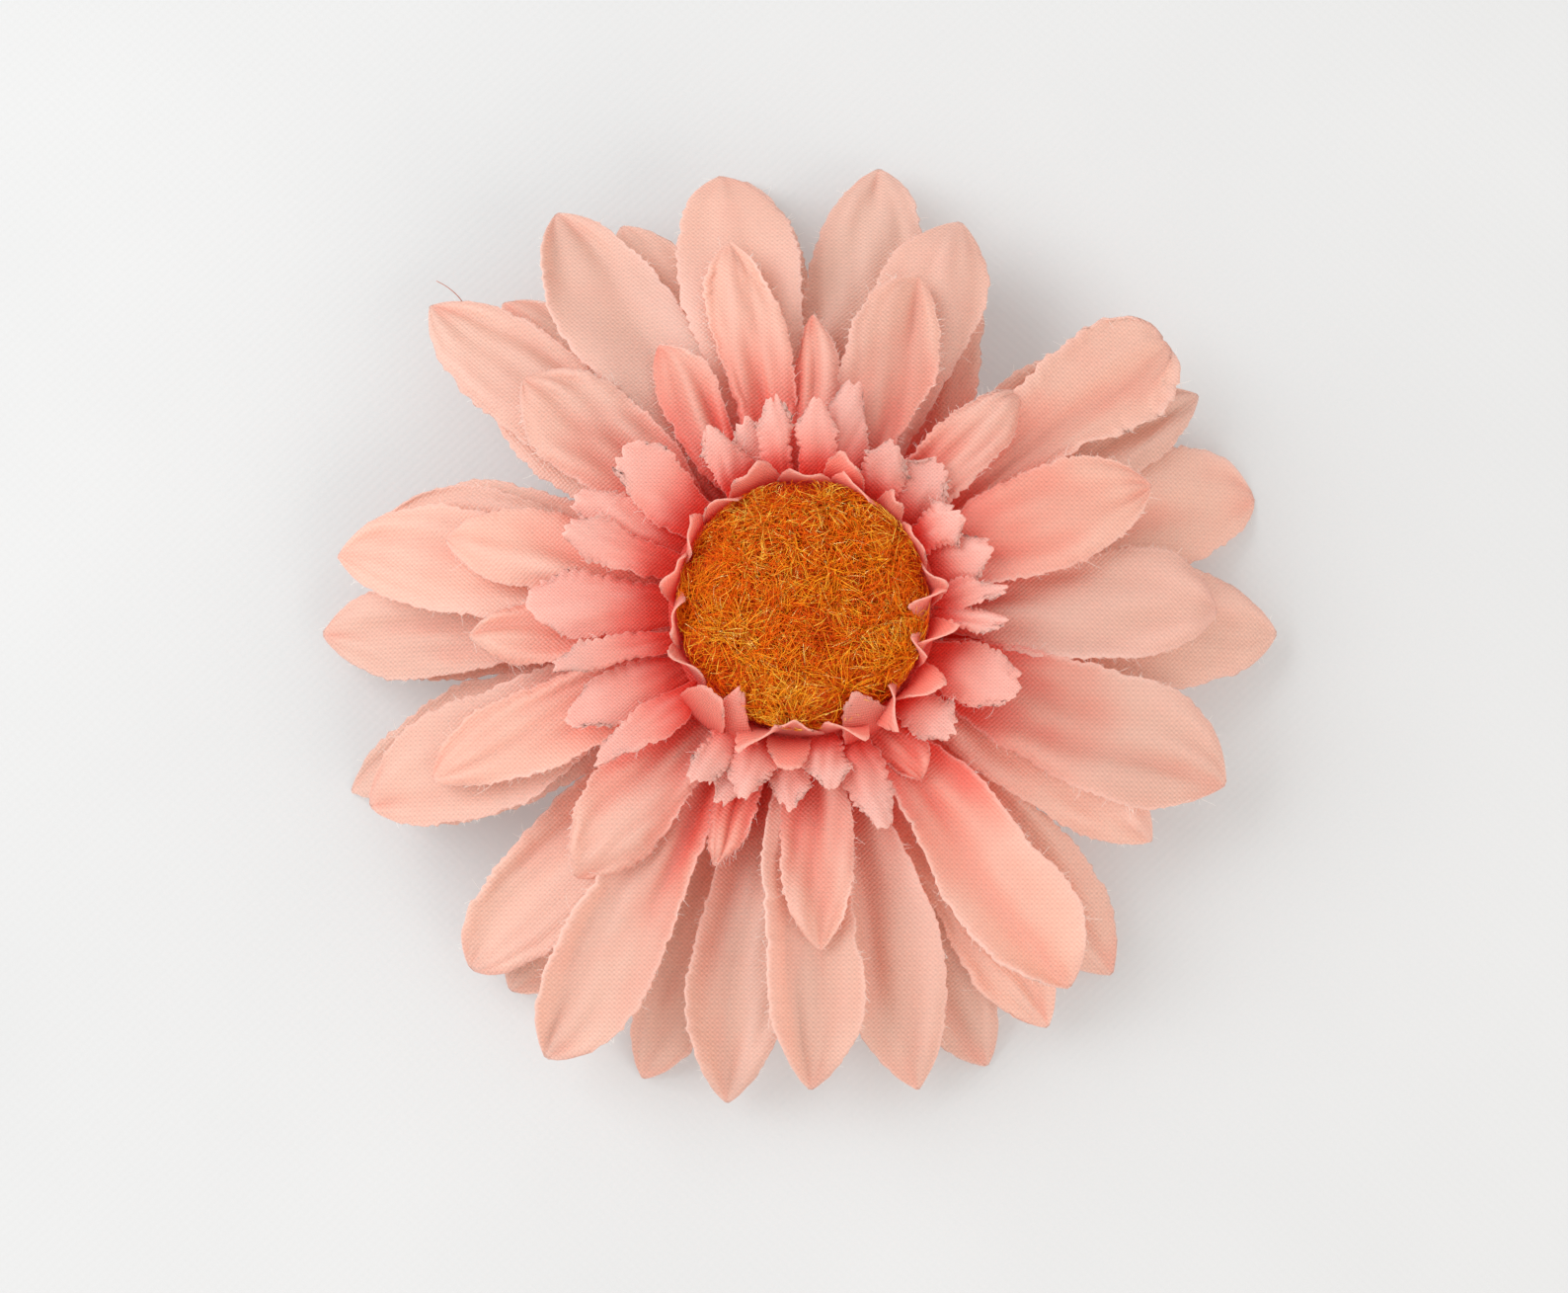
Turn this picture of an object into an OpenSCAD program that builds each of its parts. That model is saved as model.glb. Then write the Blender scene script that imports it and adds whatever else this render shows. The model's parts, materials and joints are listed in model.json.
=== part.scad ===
// Gerbera flower hair clip: die-cut cloth petal sheets and washers stacked on one moulded post,
// glued through a felt disc to a sprung metal clip.
// Frame: origin under the flower's axis on the surface that it stands on, +Z up out of the flower,
// X along the clip with its jaw tips towards -X and its finger tabs towards +X. Millimetres.

/* [Petals] */
// Reach of the longest petals from the flower's axis
flower_r = 50; // [46:1:54]
// Thickness of the cloth sheets' solids
sheet_t = 0.5; // [0.3:0.1:0.6]
// Radius of the flat middle of a petal sheet
hub_r = 8; // [7:0.5:9]
// How far the edges of a petal stand above its middle
petal_cup = 0.8; // [0.2:0.1:1]
// Height of the lowest petals' tips above the surface
tip_gap = 0.1; // [0.1:0.1:1]

/* [Frill and collar] */
// Radius of the flat middle of a frill sheet
frill_hub_r = 15; // [14.5:0.5:16]
// Depth of the teeth at the ends of the frill's straps
frill_tooth = 1.2; // [0.6:0.1:1.6]
// Number of waves round the upright collar
collar_waves = 15; // [12:1:18]
// Height of the upright collar
collar_h = 4.8; // [3.5:0.1:5.5]

/* [Centre] */
// Radius of the moulded centre button
button_r = 11.5; // [10:0.5:11.5]
// Radius of the moulded post
post_r = 1.6; // [1.4:0.1:2]
// Radius of the fibre pile
pile_r = 12.2; // [11.8:0.1:12.3]
// Height of the fibre pile at its middle
pile_h = 5.2; // [4:0.1:6]

/* [Stack] */
// Thickness of the washers between the petal sheets
washer_h = 1.1; // [1:0.1:1.5]
// Radius of the washers
washer_r = 5; // [4:0.5:6]
// Thickness of the push-on cap under the lowest sheet
cap_h = 1.6; // [1.4:0.1:2]
// Radius of the felt disc
felt_r = 14; // [12:0.5:14]
// Thickness of the felt disc
felt_t = 1; // [0.8:0.1:1.5]

/* [Clip] */
// Distance from the hinge pin forward to the tip of the top plate
jaw_len = 31; // [28:1:33]
// Distance from the hinge pin back to the ends of the finger tabs
tab_len = 14; // [12:0.5:15]
// Width of the top plate
plate_w = 8.3; // [8:0.1:9]
// Thickness of the clip's sheet metal
plate_t = 0.6; // [0.5:0.05:0.7]
// Slope of the lower finger tab below the level
tab_slope = 15; // [12:1:16]
// Radius of the hinge pin
pin_r = 0.7; // [0.6:0.05:0.75]

/* [Hidden] */
$fn = 64;

// Clip: heights are measured from the hinge pin's centre line, and the lower tab's end is the lowest point.
pin_x = 11;
plate_up = 2.4;
web_down = 1.8;
jaw_t = 0.5;
bend_x = 0.3;
tab_drop = (tab_len - bend_x) * tan(tab_slope);
pin_z = web_down + tab_drop + jaw_t / cos(tab_slope);
plate_z = pin_z + plate_up;
thumb_bend_x = 3;
thumb_slope = 5;
side_gap = 0.15;
ear_t = 0.5;
ear_r = 1.9;
jaw_w = plate_w - 2 * ear_t - 2 * side_gap;
bite_gap = 0.15;
tooth_pitch = 1.6;
tooth_depth = 0.9;
pin_play = 0.05;
wire_r = 0.35;
coil_r = 1.25;
coil_turns = 2.6;
coil_inner_y = 0.4;
coil_outer_y = 2.35;
steps_per_turn = 20;
wire_sides = 8;

// Stack, from the clip upwards: the height of each piece's underside.
glue_t = 0.2;
pad_t = 0.5;
thin_washer_h = 0.6;
thick_washer_h = 1.8;
felt_z = plate_z + plate_t + glue_t;
pad_z = felt_z + felt_t;
cap_z = pad_z + pad_t;
lower_z = cap_z + cap_h;
middle_z = lower_z + sheet_t + washer_h;
upper_z = middle_z + sheet_t + washer_h;
short_z = upper_z + sheet_t + washer_h;
frill_outer_z = short_z + sheet_t + thick_washer_h;
frill_inner_z = frill_outer_z + sheet_t + thin_washer_h;
button_z = frill_inner_z + sheet_t;
button_t = 1;
pile_z = button_z + button_t;
cap_r = 7;
pad_r = 6;
sheet_hole_r = post_r + 0.3;
washer_hole_r = post_r + 0.05;

// Petals of each sheet: [direction in degrees, reach as a share of flower_r, half width in degrees].
LOWER_PETALS = [
    [15, 0.98, 9.5], [41, 0.9, 10], [68, 0.88, 10], [97, 1.006, 9.5], [132, 0.94, 9], [158, 0.9, 9],
    [184, 0.95, 9], [202, 1, 8.5], [235, 0.99, 9], [254, 1.01, 9], [292, 1, 8.7], [310.5, 0.97, 8.7],
    [335, 0.9, 9.5]
];
MIDDLE_PETALS = [
    [358, 1, 10], [31, 0.97, 9], [56, 0.84, 9], [81, 1.008, 9], [114, 0.94, 10], [145, 0.9, 9],
    [165, 0.9, 9], [183, 1, 8.5], [207, 0.9, 9], [229.5, 1.02, 9], [261, 1.02, 9], [282, 1.01, 9],
    [300, 0.99, 8.2], [328, 0.9, 9.5]
];
UPPER_PETALS = [
    [0, 0.87, 10], [41, 0.98, 10.5], [69, 0.93, 11], [100, 0.99, 10], [121, 1.03, 9.5], [139.5, 1.04, 8.7],
    [172, 0.98, 10], [204, 1, 10.5], [242, 1.03, 9.5], [271, 0.99, 9.5], [306, 0.97, 9.5], [336, 0.95, 11.5]
];
SHORT_PETALS = [
    [21, 0.78, 11], [48, 0.66, 8], [70, 0.78, 11], [88, 0.65, 6], [102, 0.84, 7], [118, 0.66, 7.5],
    [138.5, 0.77, 11], [169, 0.77, 9], [186.5, 0.69, 8], [206.5, 0.85, 8.5], [232, 0.73, 12],
    [251, 0.6, 6], [275, 0.72, 10], [305, 0.6, 9], [338, 0.62, 9]
];
// Straps of the two frill sheets, in the same form.
OUTER_STRAPS = [
    [17.5, 0.4, 8.5], [45.5, 0.41, 8.5], [76.5, 0.47, 7], [107.5, 0.4, 8.5], [155, 0.51, 8], [179, 0.55, 10.5],
    [206.5, 0.525, 8], [247, 0.43, 7], [265.5, 0.41, 7], [290, 0.48, 7.5], [338, 0.47, 9.5]
];
INNER_STRAPS = [
    [4.5, 0.41, 4.4], [30, 0.375, 8], [59.5, 0.38, 8.5], [86, 0.415, 6.5], [98, 0.425, 5], [118, 0.405, 7],
    [140, 0.48, 10.5], [162, 0.5, 7], [194.5, 0.52, 5], [218, 0.52, 5.5], [238.5, 0.42, 5.5],
    [252.5, 0.41, 6.5], [278.5, 0.375, 7.5], [318.5, 0.4, 8.5], [355.5, 0.41, 4.4]
];

// Rise at the hub and height of a full-length tip, for each sheet's arch.
LOWER_ARCH = [0.1, tip_gap + sheet_t];
MIDDLE_ARCH = [0.14, 4];
UPPER_ARCH = [0.18, 7.5];
SHORT_ARCH = [0.22, 10.6];
OUTER_ARCH = [0.4, frill_outer_z + 9];
INNER_ARCH = [0.5, frill_inner_z + 14];

// Where the rows of points lie along a petal and along a strap, and where the columns lie across them.
PETAL_ROWS = [0, 0.15, 0.3, 0.45, 0.6, 0.75, 0.88, 1];
STRAP_ROWS = [0, 0.35, 0.7, 1];
COLUMNS = [-1, -0.5, 0, 0.5, 1];

// Share of the half width at u along a petal: nearly full to its middle, then closing to a point.
function petal_width(u) =
    min(0.8 + u * 0.7, 1) * (u < 0.45 ? 1 : max(cos(90 * pow((u - 0.45) / 0.55, 1.3)), 0.05));

// Share of the half width at u along a frill strap, which stays wide to its toothed end.
function strap_width(u) = 0.8 + 0.2 * u;

// Height of a sheet's upper side at x from the axis: an arch that rises at the hub and falls to its tip.
function arch_z(x, hub, z, arch) =
    let(run = flower_r - hub, fall = (z + arch[0] * run - arch[1]) / pow(run, 2))
    z + arch[0] * (x - hub) - fall * pow(x - hub, 2);

// Shortening of a strap's end in column k, which makes its teeth.
function notch(k, depth, u) = k % 2 == 1 ? depth * u : 0;

// One point of a petal's upper side at u along it and column k across it.
function petal_point(p, u, k, hub, z, arch, strap, level) =
    let(
        s = COLUMNS[k],
        reach = p[1] * flower_r,
        x = hub + (reach - hub) * u - (strap ? notch(k, frill_tooth, u) : 0),
        half = x * tan(p[2] * (strap ? strap_width(u) : petal_width(u))),
        settle = level ? (arch[1] - arch_z(reach, hub, z, arch)) * u * u : 0,
        cup = (strap ? 0.4 : petal_cup) * s * s * sin(180 * min(u, 0.85)),
        c = cos(p[0]),
        d = sin(p[0])
    )
    [x * c - s * half * d, x * d + s * half * c, arch_z(x, hub, z, arch) + settle + cup];

// A point of the hub's hole, in line with base point b.
function hole_point(b, z) = let(a = atan2(b[1], b[0])) [sheet_hole_r * cos(a), sheet_hole_r * sin(a), z];

// A die-cut sheet: a flat hub with a hole, and one tongue of cloth for each petal in the list.
// The points are the upper grid, the hole's upper ring, then the same two again one thickness lower.
module cut_sheet(petals, hub, z, arch, strap = false, level = false) {
    rows = strap ? STRAP_ROWS : PETAL_ROWS;
    nu = len(rows);
    ns = len(COLUMNS);
    np = len(petals);
    top_z = z + sheet_t;
    grid = [
        for (p = petals) for (u = rows) for (k = [0 : ns - 1])
            petal_point(p, u, k, hub, top_z, arch, strap, level)
    ];
    hole = [for (j = [0 : np - 1]) for (k = [0 : ns - 1]) hole_point(grid[j * nu * ns + k], top_z)];
    upper = concat(grid, hole);
    lower = [for (q = upper) [q[0], q[1], q[2] - sheet_t]];
    low = len(upper);
    ring = len(grid);
    base = [for (j = [0 : np - 1]) for (k = [0 : ns - 1]) j * nu * ns + k];
    nb = len(base);
    tongue_faces = [
        for (j = [0 : np - 1]) for (i = [0 : nu - 2]) for (k = [0 : ns - 2])
            let(a = j * nu * ns + i * ns + k) [a, a + 1, a + ns + 1, a + ns]
    ];
    hub_faces = [
        for (m = [0 : nb - 1]) let(n = (m + 1) % nb) [ring + m, ring + n, base[n], base[m]]
    ];
    gap_walls = [
        for (j = [0 : np - 1]) let(a = base[j * ns + ns - 1], b = base[((j + 1) % np) * ns]) [a, b]
    ];
    side_walls = [
        for (j = [0 : np - 1]) for (i = [0 : nu - 2])
            let(a = j * nu * ns + i * ns) each [[a, a + ns], [a + 2 * ns - 1, a + ns - 1]]
    ];
    tip_walls = [
        for (j = [0 : np - 1]) for (k = [0 : ns - 2])
            let(a = j * nu * ns + (nu - 1) * ns + k) [a, a + 1]
    ];
    hole_walls = [for (m = [0 : nb - 1]) [ring + (m + 1) % nb, ring + m]];
    upper_faces = concat(tongue_faces, hub_faces);
    lower_faces = [for (f = upper_faces) [f[3] + low, f[2] + low, f[1] + low, f[0] + low]];
    edges = concat(gap_walls, side_walls, tip_walls, hole_walls);
    walls = [for (e = edges) [e[0], e[1], e[1] + low, e[0] + low]];
    polyhedron(concat(upper, lower), concat(upper_faces, lower_faces, walls), convexity = 10);
}

// A ring washer on the post.
module washer(z, h) {
    color("mistyrose")
    translate([0, 0, z])
    difference() {
        cylinder(r = washer_r, h = h);
        translate([0, 0, -1]) cylinder(r = washer_hole_r, h = h + 2);
    }
}

// A side profile in X and Z, extruded across Y between y0 and y1.
module side_plate(y0, y1) {
    translate([0, y1, 0]) rotate([90, 0, 0]) linear_extrude(y1 - y0) children();
}

// The outline of a clip plate from above, with round ends, measured from the pin.
module plate_outline(front, back, w) {
    round_r = w / 2;
    translate([-front + round_r, 0]) circle(round_r);
    translate([back - round_r, 0]) circle(round_r);
    translate([-front + round_r, -round_r]) square([front + back - w, w]);
}

// A wire from a coil round the pin into a straight leg: turn +1 or -1 sets its way round, a_end is where
// the leg leaves it, and y runs from y_in to y_out over the turns.
module coil_and_leg(a_end, turn, y_in, y_out, leg) {
    steps = round(coil_turns * steps_per_turn);
    sweep = 360 * coil_turns;
    coil = [
        for (i = [0 : steps]) let(a = a_end - turn * sweep * (1 - i / steps))
            [coil_r * cos(a), y_in + (y_out - y_in) * i / steps, coil_r * sin(a), a]
    ];
    last = coil[steps];
    foot = [last[0] - turn * leg * sin(a_end), y_out, last[2] + turn * leg * cos(a_end), a_end];
    path = concat(coil, [foot]);
    points = [
        for (p = path) for (q = [0 : wire_sides - 1]) let(b = 360 * q / wire_sides, n = wire_r * cos(b))
            [p[0] + n * cos(p[3]), p[1] + wire_r * sin(b), p[2] + n * sin(p[3])]
    ];
    m = wire_sides;
    skin = [
        for (i = [0 : len(path) - 2]) for (q = [0 : m - 1]) let(r = (q + 1) % m)
            [i * m + q, i * m + r, (i + 1) * m + r, (i + 1) * m + q]
    ];
    end = (len(path) - 1) * m;
    caps = [[for (q = [m - 1 : -1 : 0]) q], [for (q = [0 : m - 1]) end + q]];
    faces = concat(skin, caps);
    outward = [for (f = faces) turn > 0 ? [for (i = [len(f) - 1 : -1 : 0]) f[i]] : f];
    translate([pin_x, 0, pin_z]) polyhedron(points, outward, convexity = 10);
}

// Top plate: the flat plate that the felt is glued to, its thumb tab, and two ears that hold the pin.
module clip_top_plate() {
    ear_y = plate_w / 2 - ear_t;
    neck = 1.7;
    thumb_rise = (tab_len - thumb_bend_x) * tan(thumb_slope);
    color("silver")
    translate([pin_x, 0, pin_z])
    union() {
        intersection() {
            side_plate(-plate_w, plate_w)
                polygon([
                    [-jaw_len - 1, plate_up], [thumb_bend_x, plate_up],
                    [tab_len, plate_up + thumb_rise], [tab_len, plate_up + thumb_rise + plate_t],
                    [thumb_bend_x, plate_up + plate_t], [-jaw_len - 1, plate_up + plate_t]
                ]);
            linear_extrude(plate_up + thumb_rise + 5) plate_outline(jaw_len, tab_len, plate_w);
        }
        for (side = [0, 1]) mirror([0, side, 0])
            side_plate(ear_y, ear_y + ear_t)
                difference() {
                    union() {
                        circle(ear_r);
                        translate([-neck, 0]) square([2 * neck, plate_up + plate_t / 2]);
                    }
                    circle(pin_r);
                }
    }
}

// Lower jaw: a web with toothed side walls in front of the pin, ears round it, and the finger tab behind.
module clip_lower_jaw() {
    tip = jaw_len - 0.5;
    bite_z = plate_up - bite_gap;
    teeth = floor((tip - 9) / tooth_pitch);
    teeth_x = -tip + 0.8;
    wall_y = jaw_w / 2 - jaw_t;
    zigzag = [
        for (i = [0 : teeth - 1]) each [
            [teeth_x + i * tooth_pitch, bite_z],
            [teeth_x + (i + 0.5) * tooth_pitch, bite_z - tooth_depth]
        ]
    ];
    web_top = [
        [-tip, 0.9], [-9, -0.5], [-3.5, -web_down], [bend_x, -web_down], [tab_len, -web_down - tab_drop]
    ];
    web_low = [for (i = [len(web_top) - 1 : -1 : 0]) [web_top[i][0], web_top[i][1] - jaw_t]];
    wall_foot = [[1, -web_down - 0.1], [-3.5, -web_down - 0.1], [-9, -0.6], [-tip, 0.8]];
    color("silver")
    translate([pin_x, 0, pin_z])
    union() {
        intersection() {
            union() {
                side_plate(-jaw_w, jaw_w) polygon(concat(web_top, web_low));
                side_plate(-jaw_w, jaw_w) translate([-tip, 0.4]) square([jaw_t, bite_z - 0.4]);
            }
            translate([0, 0, -20]) linear_extrude(40) plate_outline(tip + 2, tab_len, jaw_w);
        }
        for (side = [0, 1]) mirror([0, side, 0])
            side_plate(wall_y, wall_y + jaw_t)
                difference() {
                    union() {
                        polygon(concat(
                            [[-tip, bite_z - tooth_depth]], zigzag, [[-6, bite_z - 0.4], [0, 1.7]], wall_foot
                        ));
                        circle(ear_r);
                    }
                    circle(pin_r + pin_play);
                }
    }
}

// Hinge pin: a rivet through all four ears, with a head on each side.
module hinge_pin() {
    head_r = 1.2;
    head_t = 0.4;
    half = plate_w / 2;
    color("lightgray")
    translate([pin_x, 0, pin_z])
    rotate([90, 0, 0])
    union() {
        translate([0, 0, -half]) cylinder(r = pin_r, h = plate_w);
        translate([0, 0, half]) cylinder(r = head_r, h = head_t);
        translate([0, 0, -half - head_t]) cylinder(r = head_r, h = head_t);
    }
}

// Torsion spring, first half: the turns and the leg that stay with the top plate.
module spring_fixed_half() {
    leg_slope = 8;
    color("gainsboro") coil_and_leg(90 + leg_slope, -1, -coil_inner_y, -coil_outer_y, tab_len - 4.5);
}

// Torsion spring, second half: the turns and the leg that swing with the lower jaw.
module spring_moving_half() {
    color("gainsboro") coil_and_leg(-90 - tab_slope, 1, coil_inner_y, coil_outer_y, tab_len - 3);
}

// Glue line between the top plate and the felt.
module clip_glue() {
    glue_w = plate_w - 1.3;
    front = pin_x - jaw_len + 8;
    color("ivory")
    translate([front, -glue_w / 2, plate_z + plate_t])
    cube([felt_r - 1.5 - front, glue_w, glue_t]);
}

// Felt disc that hides the glue and lies between the clip and the flower.
module felt_disc() {
    color("lightpink") translate([0, 0, felt_z]) cylinder(r = felt_r, h = felt_t);
}

// Pad of hot glue between the felt and the cap.
module glue_pad() {
    color("ivory") translate([0, 0, pad_z]) cylinder(r = pad_r, h = pad_t);
}

// Push-on cap under the lowest sheet: it grips the end of the post and holds the stack together.
module calyx_cap() {
    blind = 0.3;
    color("mistyrose")
    difference() {
        translate([0, 0, cap_z]) cylinder(r = cap_r, h = cap_h);
        translate([0, 0, cap_z + blind]) cylinder(r = post_r, h = cap_h);
    }
}

// Lowest petal sheet, whose tips settle on the surface.
module petals_lower() {
    color([0.98, 0.76, 0.72]) cut_sheet(LOWER_PETALS, hub_r, lower_z, LOWER_ARCH, level = true);
}

// Second petal sheet.
module petals_middle() {
    color([0.97, 0.72, 0.69]) cut_sheet(MIDDLE_PETALS, hub_r, middle_z, MIDDLE_ARCH);
}

// Third petal sheet, the last of the full-length ones.
module petals_upper() {
    color([0.98, 0.78, 0.75]) cut_sheet(UPPER_PETALS, hub_r, upper_z, UPPER_ARCH);
}

// Fourth petal sheet, with shorter petals.
module petals_short() {
    color([0.97, 0.74, 0.71]) cut_sheet(SHORT_PETALS, hub_r, short_z, SHORT_ARCH);
}

// Lower frill sheet of toothed straps.
module frill_outer() {
    color([0.95, 0.62, 0.62]) cut_sheet(OUTER_STRAPS, frill_hub_r, frill_outer_z, OUTER_ARCH, strap = true);
}

// Upper frill sheet of toothed straps.
module frill_inner() {
    color([0.93, 0.55, 0.57]) cut_sheet(INNER_STRAPS, frill_hub_r, frill_inner_z, INNER_ARCH, strap = true);
}

// Moulded centre: the button under the pile and the post that carries every sheet and washer.
module centre_button() {
    post_foot = cap_z + 0.3;
    color("mistyrose")
    union() {
        translate([0, 0, button_z]) cylinder(r = button_r, h = button_t);
        translate([0, 0, post_foot]) cylinder(r = post_r, h = button_z - post_foot + button_t / 2);
    }
}

// Upright strip of cloth in waves round the pile, leaning out towards its upper edge.
module collar() {
    cloth = 0.5;
    foot_r = 13.1;
    top_r = 14.4;
    foot_wave = 0.35;
    top_wave = 1.1;
    per_wave = 8;
    n = collar_waves * per_wave;
    points = [
        for (i = [0 : n - 1])
            let(
                a = 360 * i / n,
                w = sin(collar_waves * a),
                foot = foot_r + foot_wave * w,
                top = top_r + top_wave * w,
                h = collar_h + 0.4 * sin(4 * a)
            )
            each [
                [foot * cos(a), foot * sin(a), button_z],
                [(foot + cloth) * cos(a), (foot + cloth) * sin(a), button_z],
                [(top + cloth) * cos(a), (top + cloth) * sin(a), button_z + h],
                [top * cos(a), top * sin(a), button_z + h]
            ]
    ];
    faces = [
        for (i = [0 : n - 1]) for (k = [0 : 3])
            let(a = i * 4, b = ((i + 1) % n) * 4, l = (k + 1) % 4) [a + k, a + l, b + l, b + k]
    ];
    color([0.9, 0.5, 0.52]) polyhedron(points, faces, convexity = 10);
}

// The tufts of the pile: one in the middle, then rings of them.
TUFT_RINGS = [[0, 1], [4.2, 6], [8.6, 13]];
module tufts() {
    tuft_foot_r = 1;
    tuft_top_r = 1.5;
    for (ring = TUFT_RINGS) for (i = [0 : ring[1] - 1])
        rotate([0, 0, 360 * i / ring[1] + 5 * ring[0]])
        translate([ring[0], 0, pile_z])
        cylinder(r1 = tuft_foot_r, r2 = tuft_top_r, h = pile_h + 0.7 - 0.018 * pow(ring[0], 2), $fn = 32);
}

// Rust-red fibres of the pile, as one domed cushion that the gold tufts pass through.
module pile_rust() {
    dome_r = (pow(pile_r, 2) + pow(2, 2)) / (2 * 2);
    color([0.62, 0.2, 0.12])
    difference() {
        intersection() {
            translate([0, 0, pile_z]) cylinder(r = pile_r, h = pile_h);
            translate([0, 0, pile_z + pile_h - dome_r]) sphere(r = dome_r, $fn = 128);
        }
        tufts();
    }
}

// Gold fibres of the pile, in tufts that stand a little above the rest.
module pile_gold() {
    color([0.93, 0.65, 0.22]) tufts();
}

clip_top_plate();
clip_lower_jaw();
hinge_pin();
spring_fixed_half();
spring_moving_half();
clip_glue();
felt_disc();
glue_pad();
calyx_cap();
petals_lower();
washer(lower_z + sheet_t, washer_h);  // washer_1
petals_middle();
washer(middle_z + sheet_t, washer_h);  // washer_2
petals_upper();
washer(upper_z + sheet_t, washer_h);  // washer_3
petals_short();
washer(short_z + sheet_t, thick_washer_h);  // washer_4
frill_outer();
washer(frill_outer_z + sheet_t, thin_washer_h);  // washer_5
frill_inner();
centre_button();
collar();
pile_rust();
pile_gold();
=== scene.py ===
"""Looks of a cloth gerbera flower on a sprung hair clip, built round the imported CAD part.

The flower is a stack of die-cut cloth sheets on a moulded post. Each sheet is one mesh whose tongues are
arched, pillowed, folded and creased by a formula, with a ragged cut edge and loose threads along it. A frill
of toothed straps and an upright collar surround a pile of cut fibres, and a disc of felt is under them. The
metal clip under the felt keeps its CAD shapes and gets plated finishes. Lengths are metres in the CAD frame
unless a name says mm.
"""

import json
import logging
import math
from dataclasses import dataclass, field
from enum import Enum

import bpy
import numpy as np
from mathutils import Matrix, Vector


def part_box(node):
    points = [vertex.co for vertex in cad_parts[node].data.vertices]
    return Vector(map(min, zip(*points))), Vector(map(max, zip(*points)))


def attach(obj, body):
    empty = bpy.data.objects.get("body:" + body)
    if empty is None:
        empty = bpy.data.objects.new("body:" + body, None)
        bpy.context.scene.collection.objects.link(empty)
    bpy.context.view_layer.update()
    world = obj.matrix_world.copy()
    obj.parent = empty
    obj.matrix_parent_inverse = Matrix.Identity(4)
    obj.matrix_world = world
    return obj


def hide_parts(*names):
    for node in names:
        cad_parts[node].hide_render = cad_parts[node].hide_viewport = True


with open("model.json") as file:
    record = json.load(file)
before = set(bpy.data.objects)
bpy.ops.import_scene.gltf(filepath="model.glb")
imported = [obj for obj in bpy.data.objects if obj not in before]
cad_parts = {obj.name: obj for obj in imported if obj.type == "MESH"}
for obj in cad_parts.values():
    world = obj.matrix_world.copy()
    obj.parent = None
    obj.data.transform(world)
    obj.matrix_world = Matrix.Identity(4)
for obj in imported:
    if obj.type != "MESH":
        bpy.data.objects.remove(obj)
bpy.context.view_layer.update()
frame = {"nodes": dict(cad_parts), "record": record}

MM = 0.001
CLOTH_MM = 0.22
RIM_THINNING = 0.4
GOLDEN_ANGLE = 2.39996
FLOWER_BODY = "flower_and_top_plate"
LOG = logging.getLogger("flower_clip")

# A patch of cloth: its grid of points, its flat coordinates, and its tint, rim and shade at each point.
# The tint is the dye with painted shade in it, and the rim is the pale cut edge with painted highlights in
# it.
Patch = tuple[np.ndarray, np.ndarray, dict[str, np.ndarray]]
# A skin: its points and its faces.
Skin = tuple[np.ndarray, np.ndarray]
Colour = tuple[float, float, float]


class Tip(Enum):
    """How a tongue of cloth ends."""

    PETAL = "petal"
    STRAP = "strap"


# ---------------------------------------------------------------- small numpy helpers


def smooth(low: float, high: float, value: np.ndarray) -> np.ndarray:
    """Eases an array from 0 at low to 1 at high, as 3t^2 - 2t^3 of the clipped share t between them."""
    t = np.clip((value - low) / (high - low), 0, 1)
    return t * t * (3 - 2 * t)


def wander(rng: np.random.Generator, count: int, step: int) -> np.ndarray:
    """Makes count values from -1 to 1, straight from one random knot to the next, step values apart."""
    knots = rng.uniform(-1, 1, count // step + 2)
    return np.interp(np.arange(count) / step, np.arange(len(knots)), knots)


def unit(vectors: np.ndarray) -> np.ndarray:
    """Scales vectors, which run along the last axis, to length 1."""
    return vectors / np.maximum(np.linalg.norm(vectors, axis=-1, keepdims=True), 1e-12)


def around(r: np.ndarray | float, angle: np.ndarray) -> np.ndarray:
    """Turns distances from the axis and angles into pairs of x and y."""
    return np.stack([r * np.cos(angle), r * np.sin(angle)], -1)


def turned(x: np.ndarray, y: np.ndarray, degrees: float) -> list[np.ndarray]:
    """Turns x and y about the axis."""
    c, d = math.cos(math.radians(degrees)), math.sin(math.radians(degrees))
    return [x * c - y * d, x * d + y * c]


def shell(grid: np.ndarray, thickness: float) -> tuple[np.ndarray, np.ndarray, np.ndarray]:
    """Gives a grid surface its thickness as one closed skin, thinned towards its rim.

    Each point moves half the thickness up and down its normal, which is the cross product of the steps along
    and across the grid, and a wall joins both sides all round.

    Args:
        grid: Points in rows along the tongue and columns across it, counter-clockwise from above.
        thickness: Thickness of the cloth.

    Returns:
        The points, the four-cornered faces, and for each point its place in the grid.
    """
    rows, cols = grid.shape[:2]
    size = rows * cols
    thin = np.full((rows, cols, 1), thickness / 2)
    thin[:, [0, -1]] *= RIM_THINNING
    thin[[0, -1]] *= RIM_THINNING
    half = unit(np.cross(np.gradient(grid, axis=0), np.gradient(grid, axis=1))) * thin
    points = np.concatenate([(grid + half).reshape(-1, 3), (grid - half).reshape(-1, 3)])
    index = np.arange(size).reshape(rows, cols)
    a, b, c, d = index[:-1, :-1], index[1:, :-1], index[1:, 1:], index[:-1, 1:]
    upper = np.stack([a, b, c, d], axis=-1).reshape(-1, 4)
    rim = np.concatenate([index[0, :-1], index[:-1, -1], index[-1, :0:-1], index[:0:-1, 0]])
    after = np.roll(rim, -1)
    walls = np.stack([rim, after, after + size, rim + size], axis=-1)
    faces = np.concatenate([upper, upper[:, ::-1] + size, walls])
    return points, faces, np.tile(np.arange(size), 2)


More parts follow.
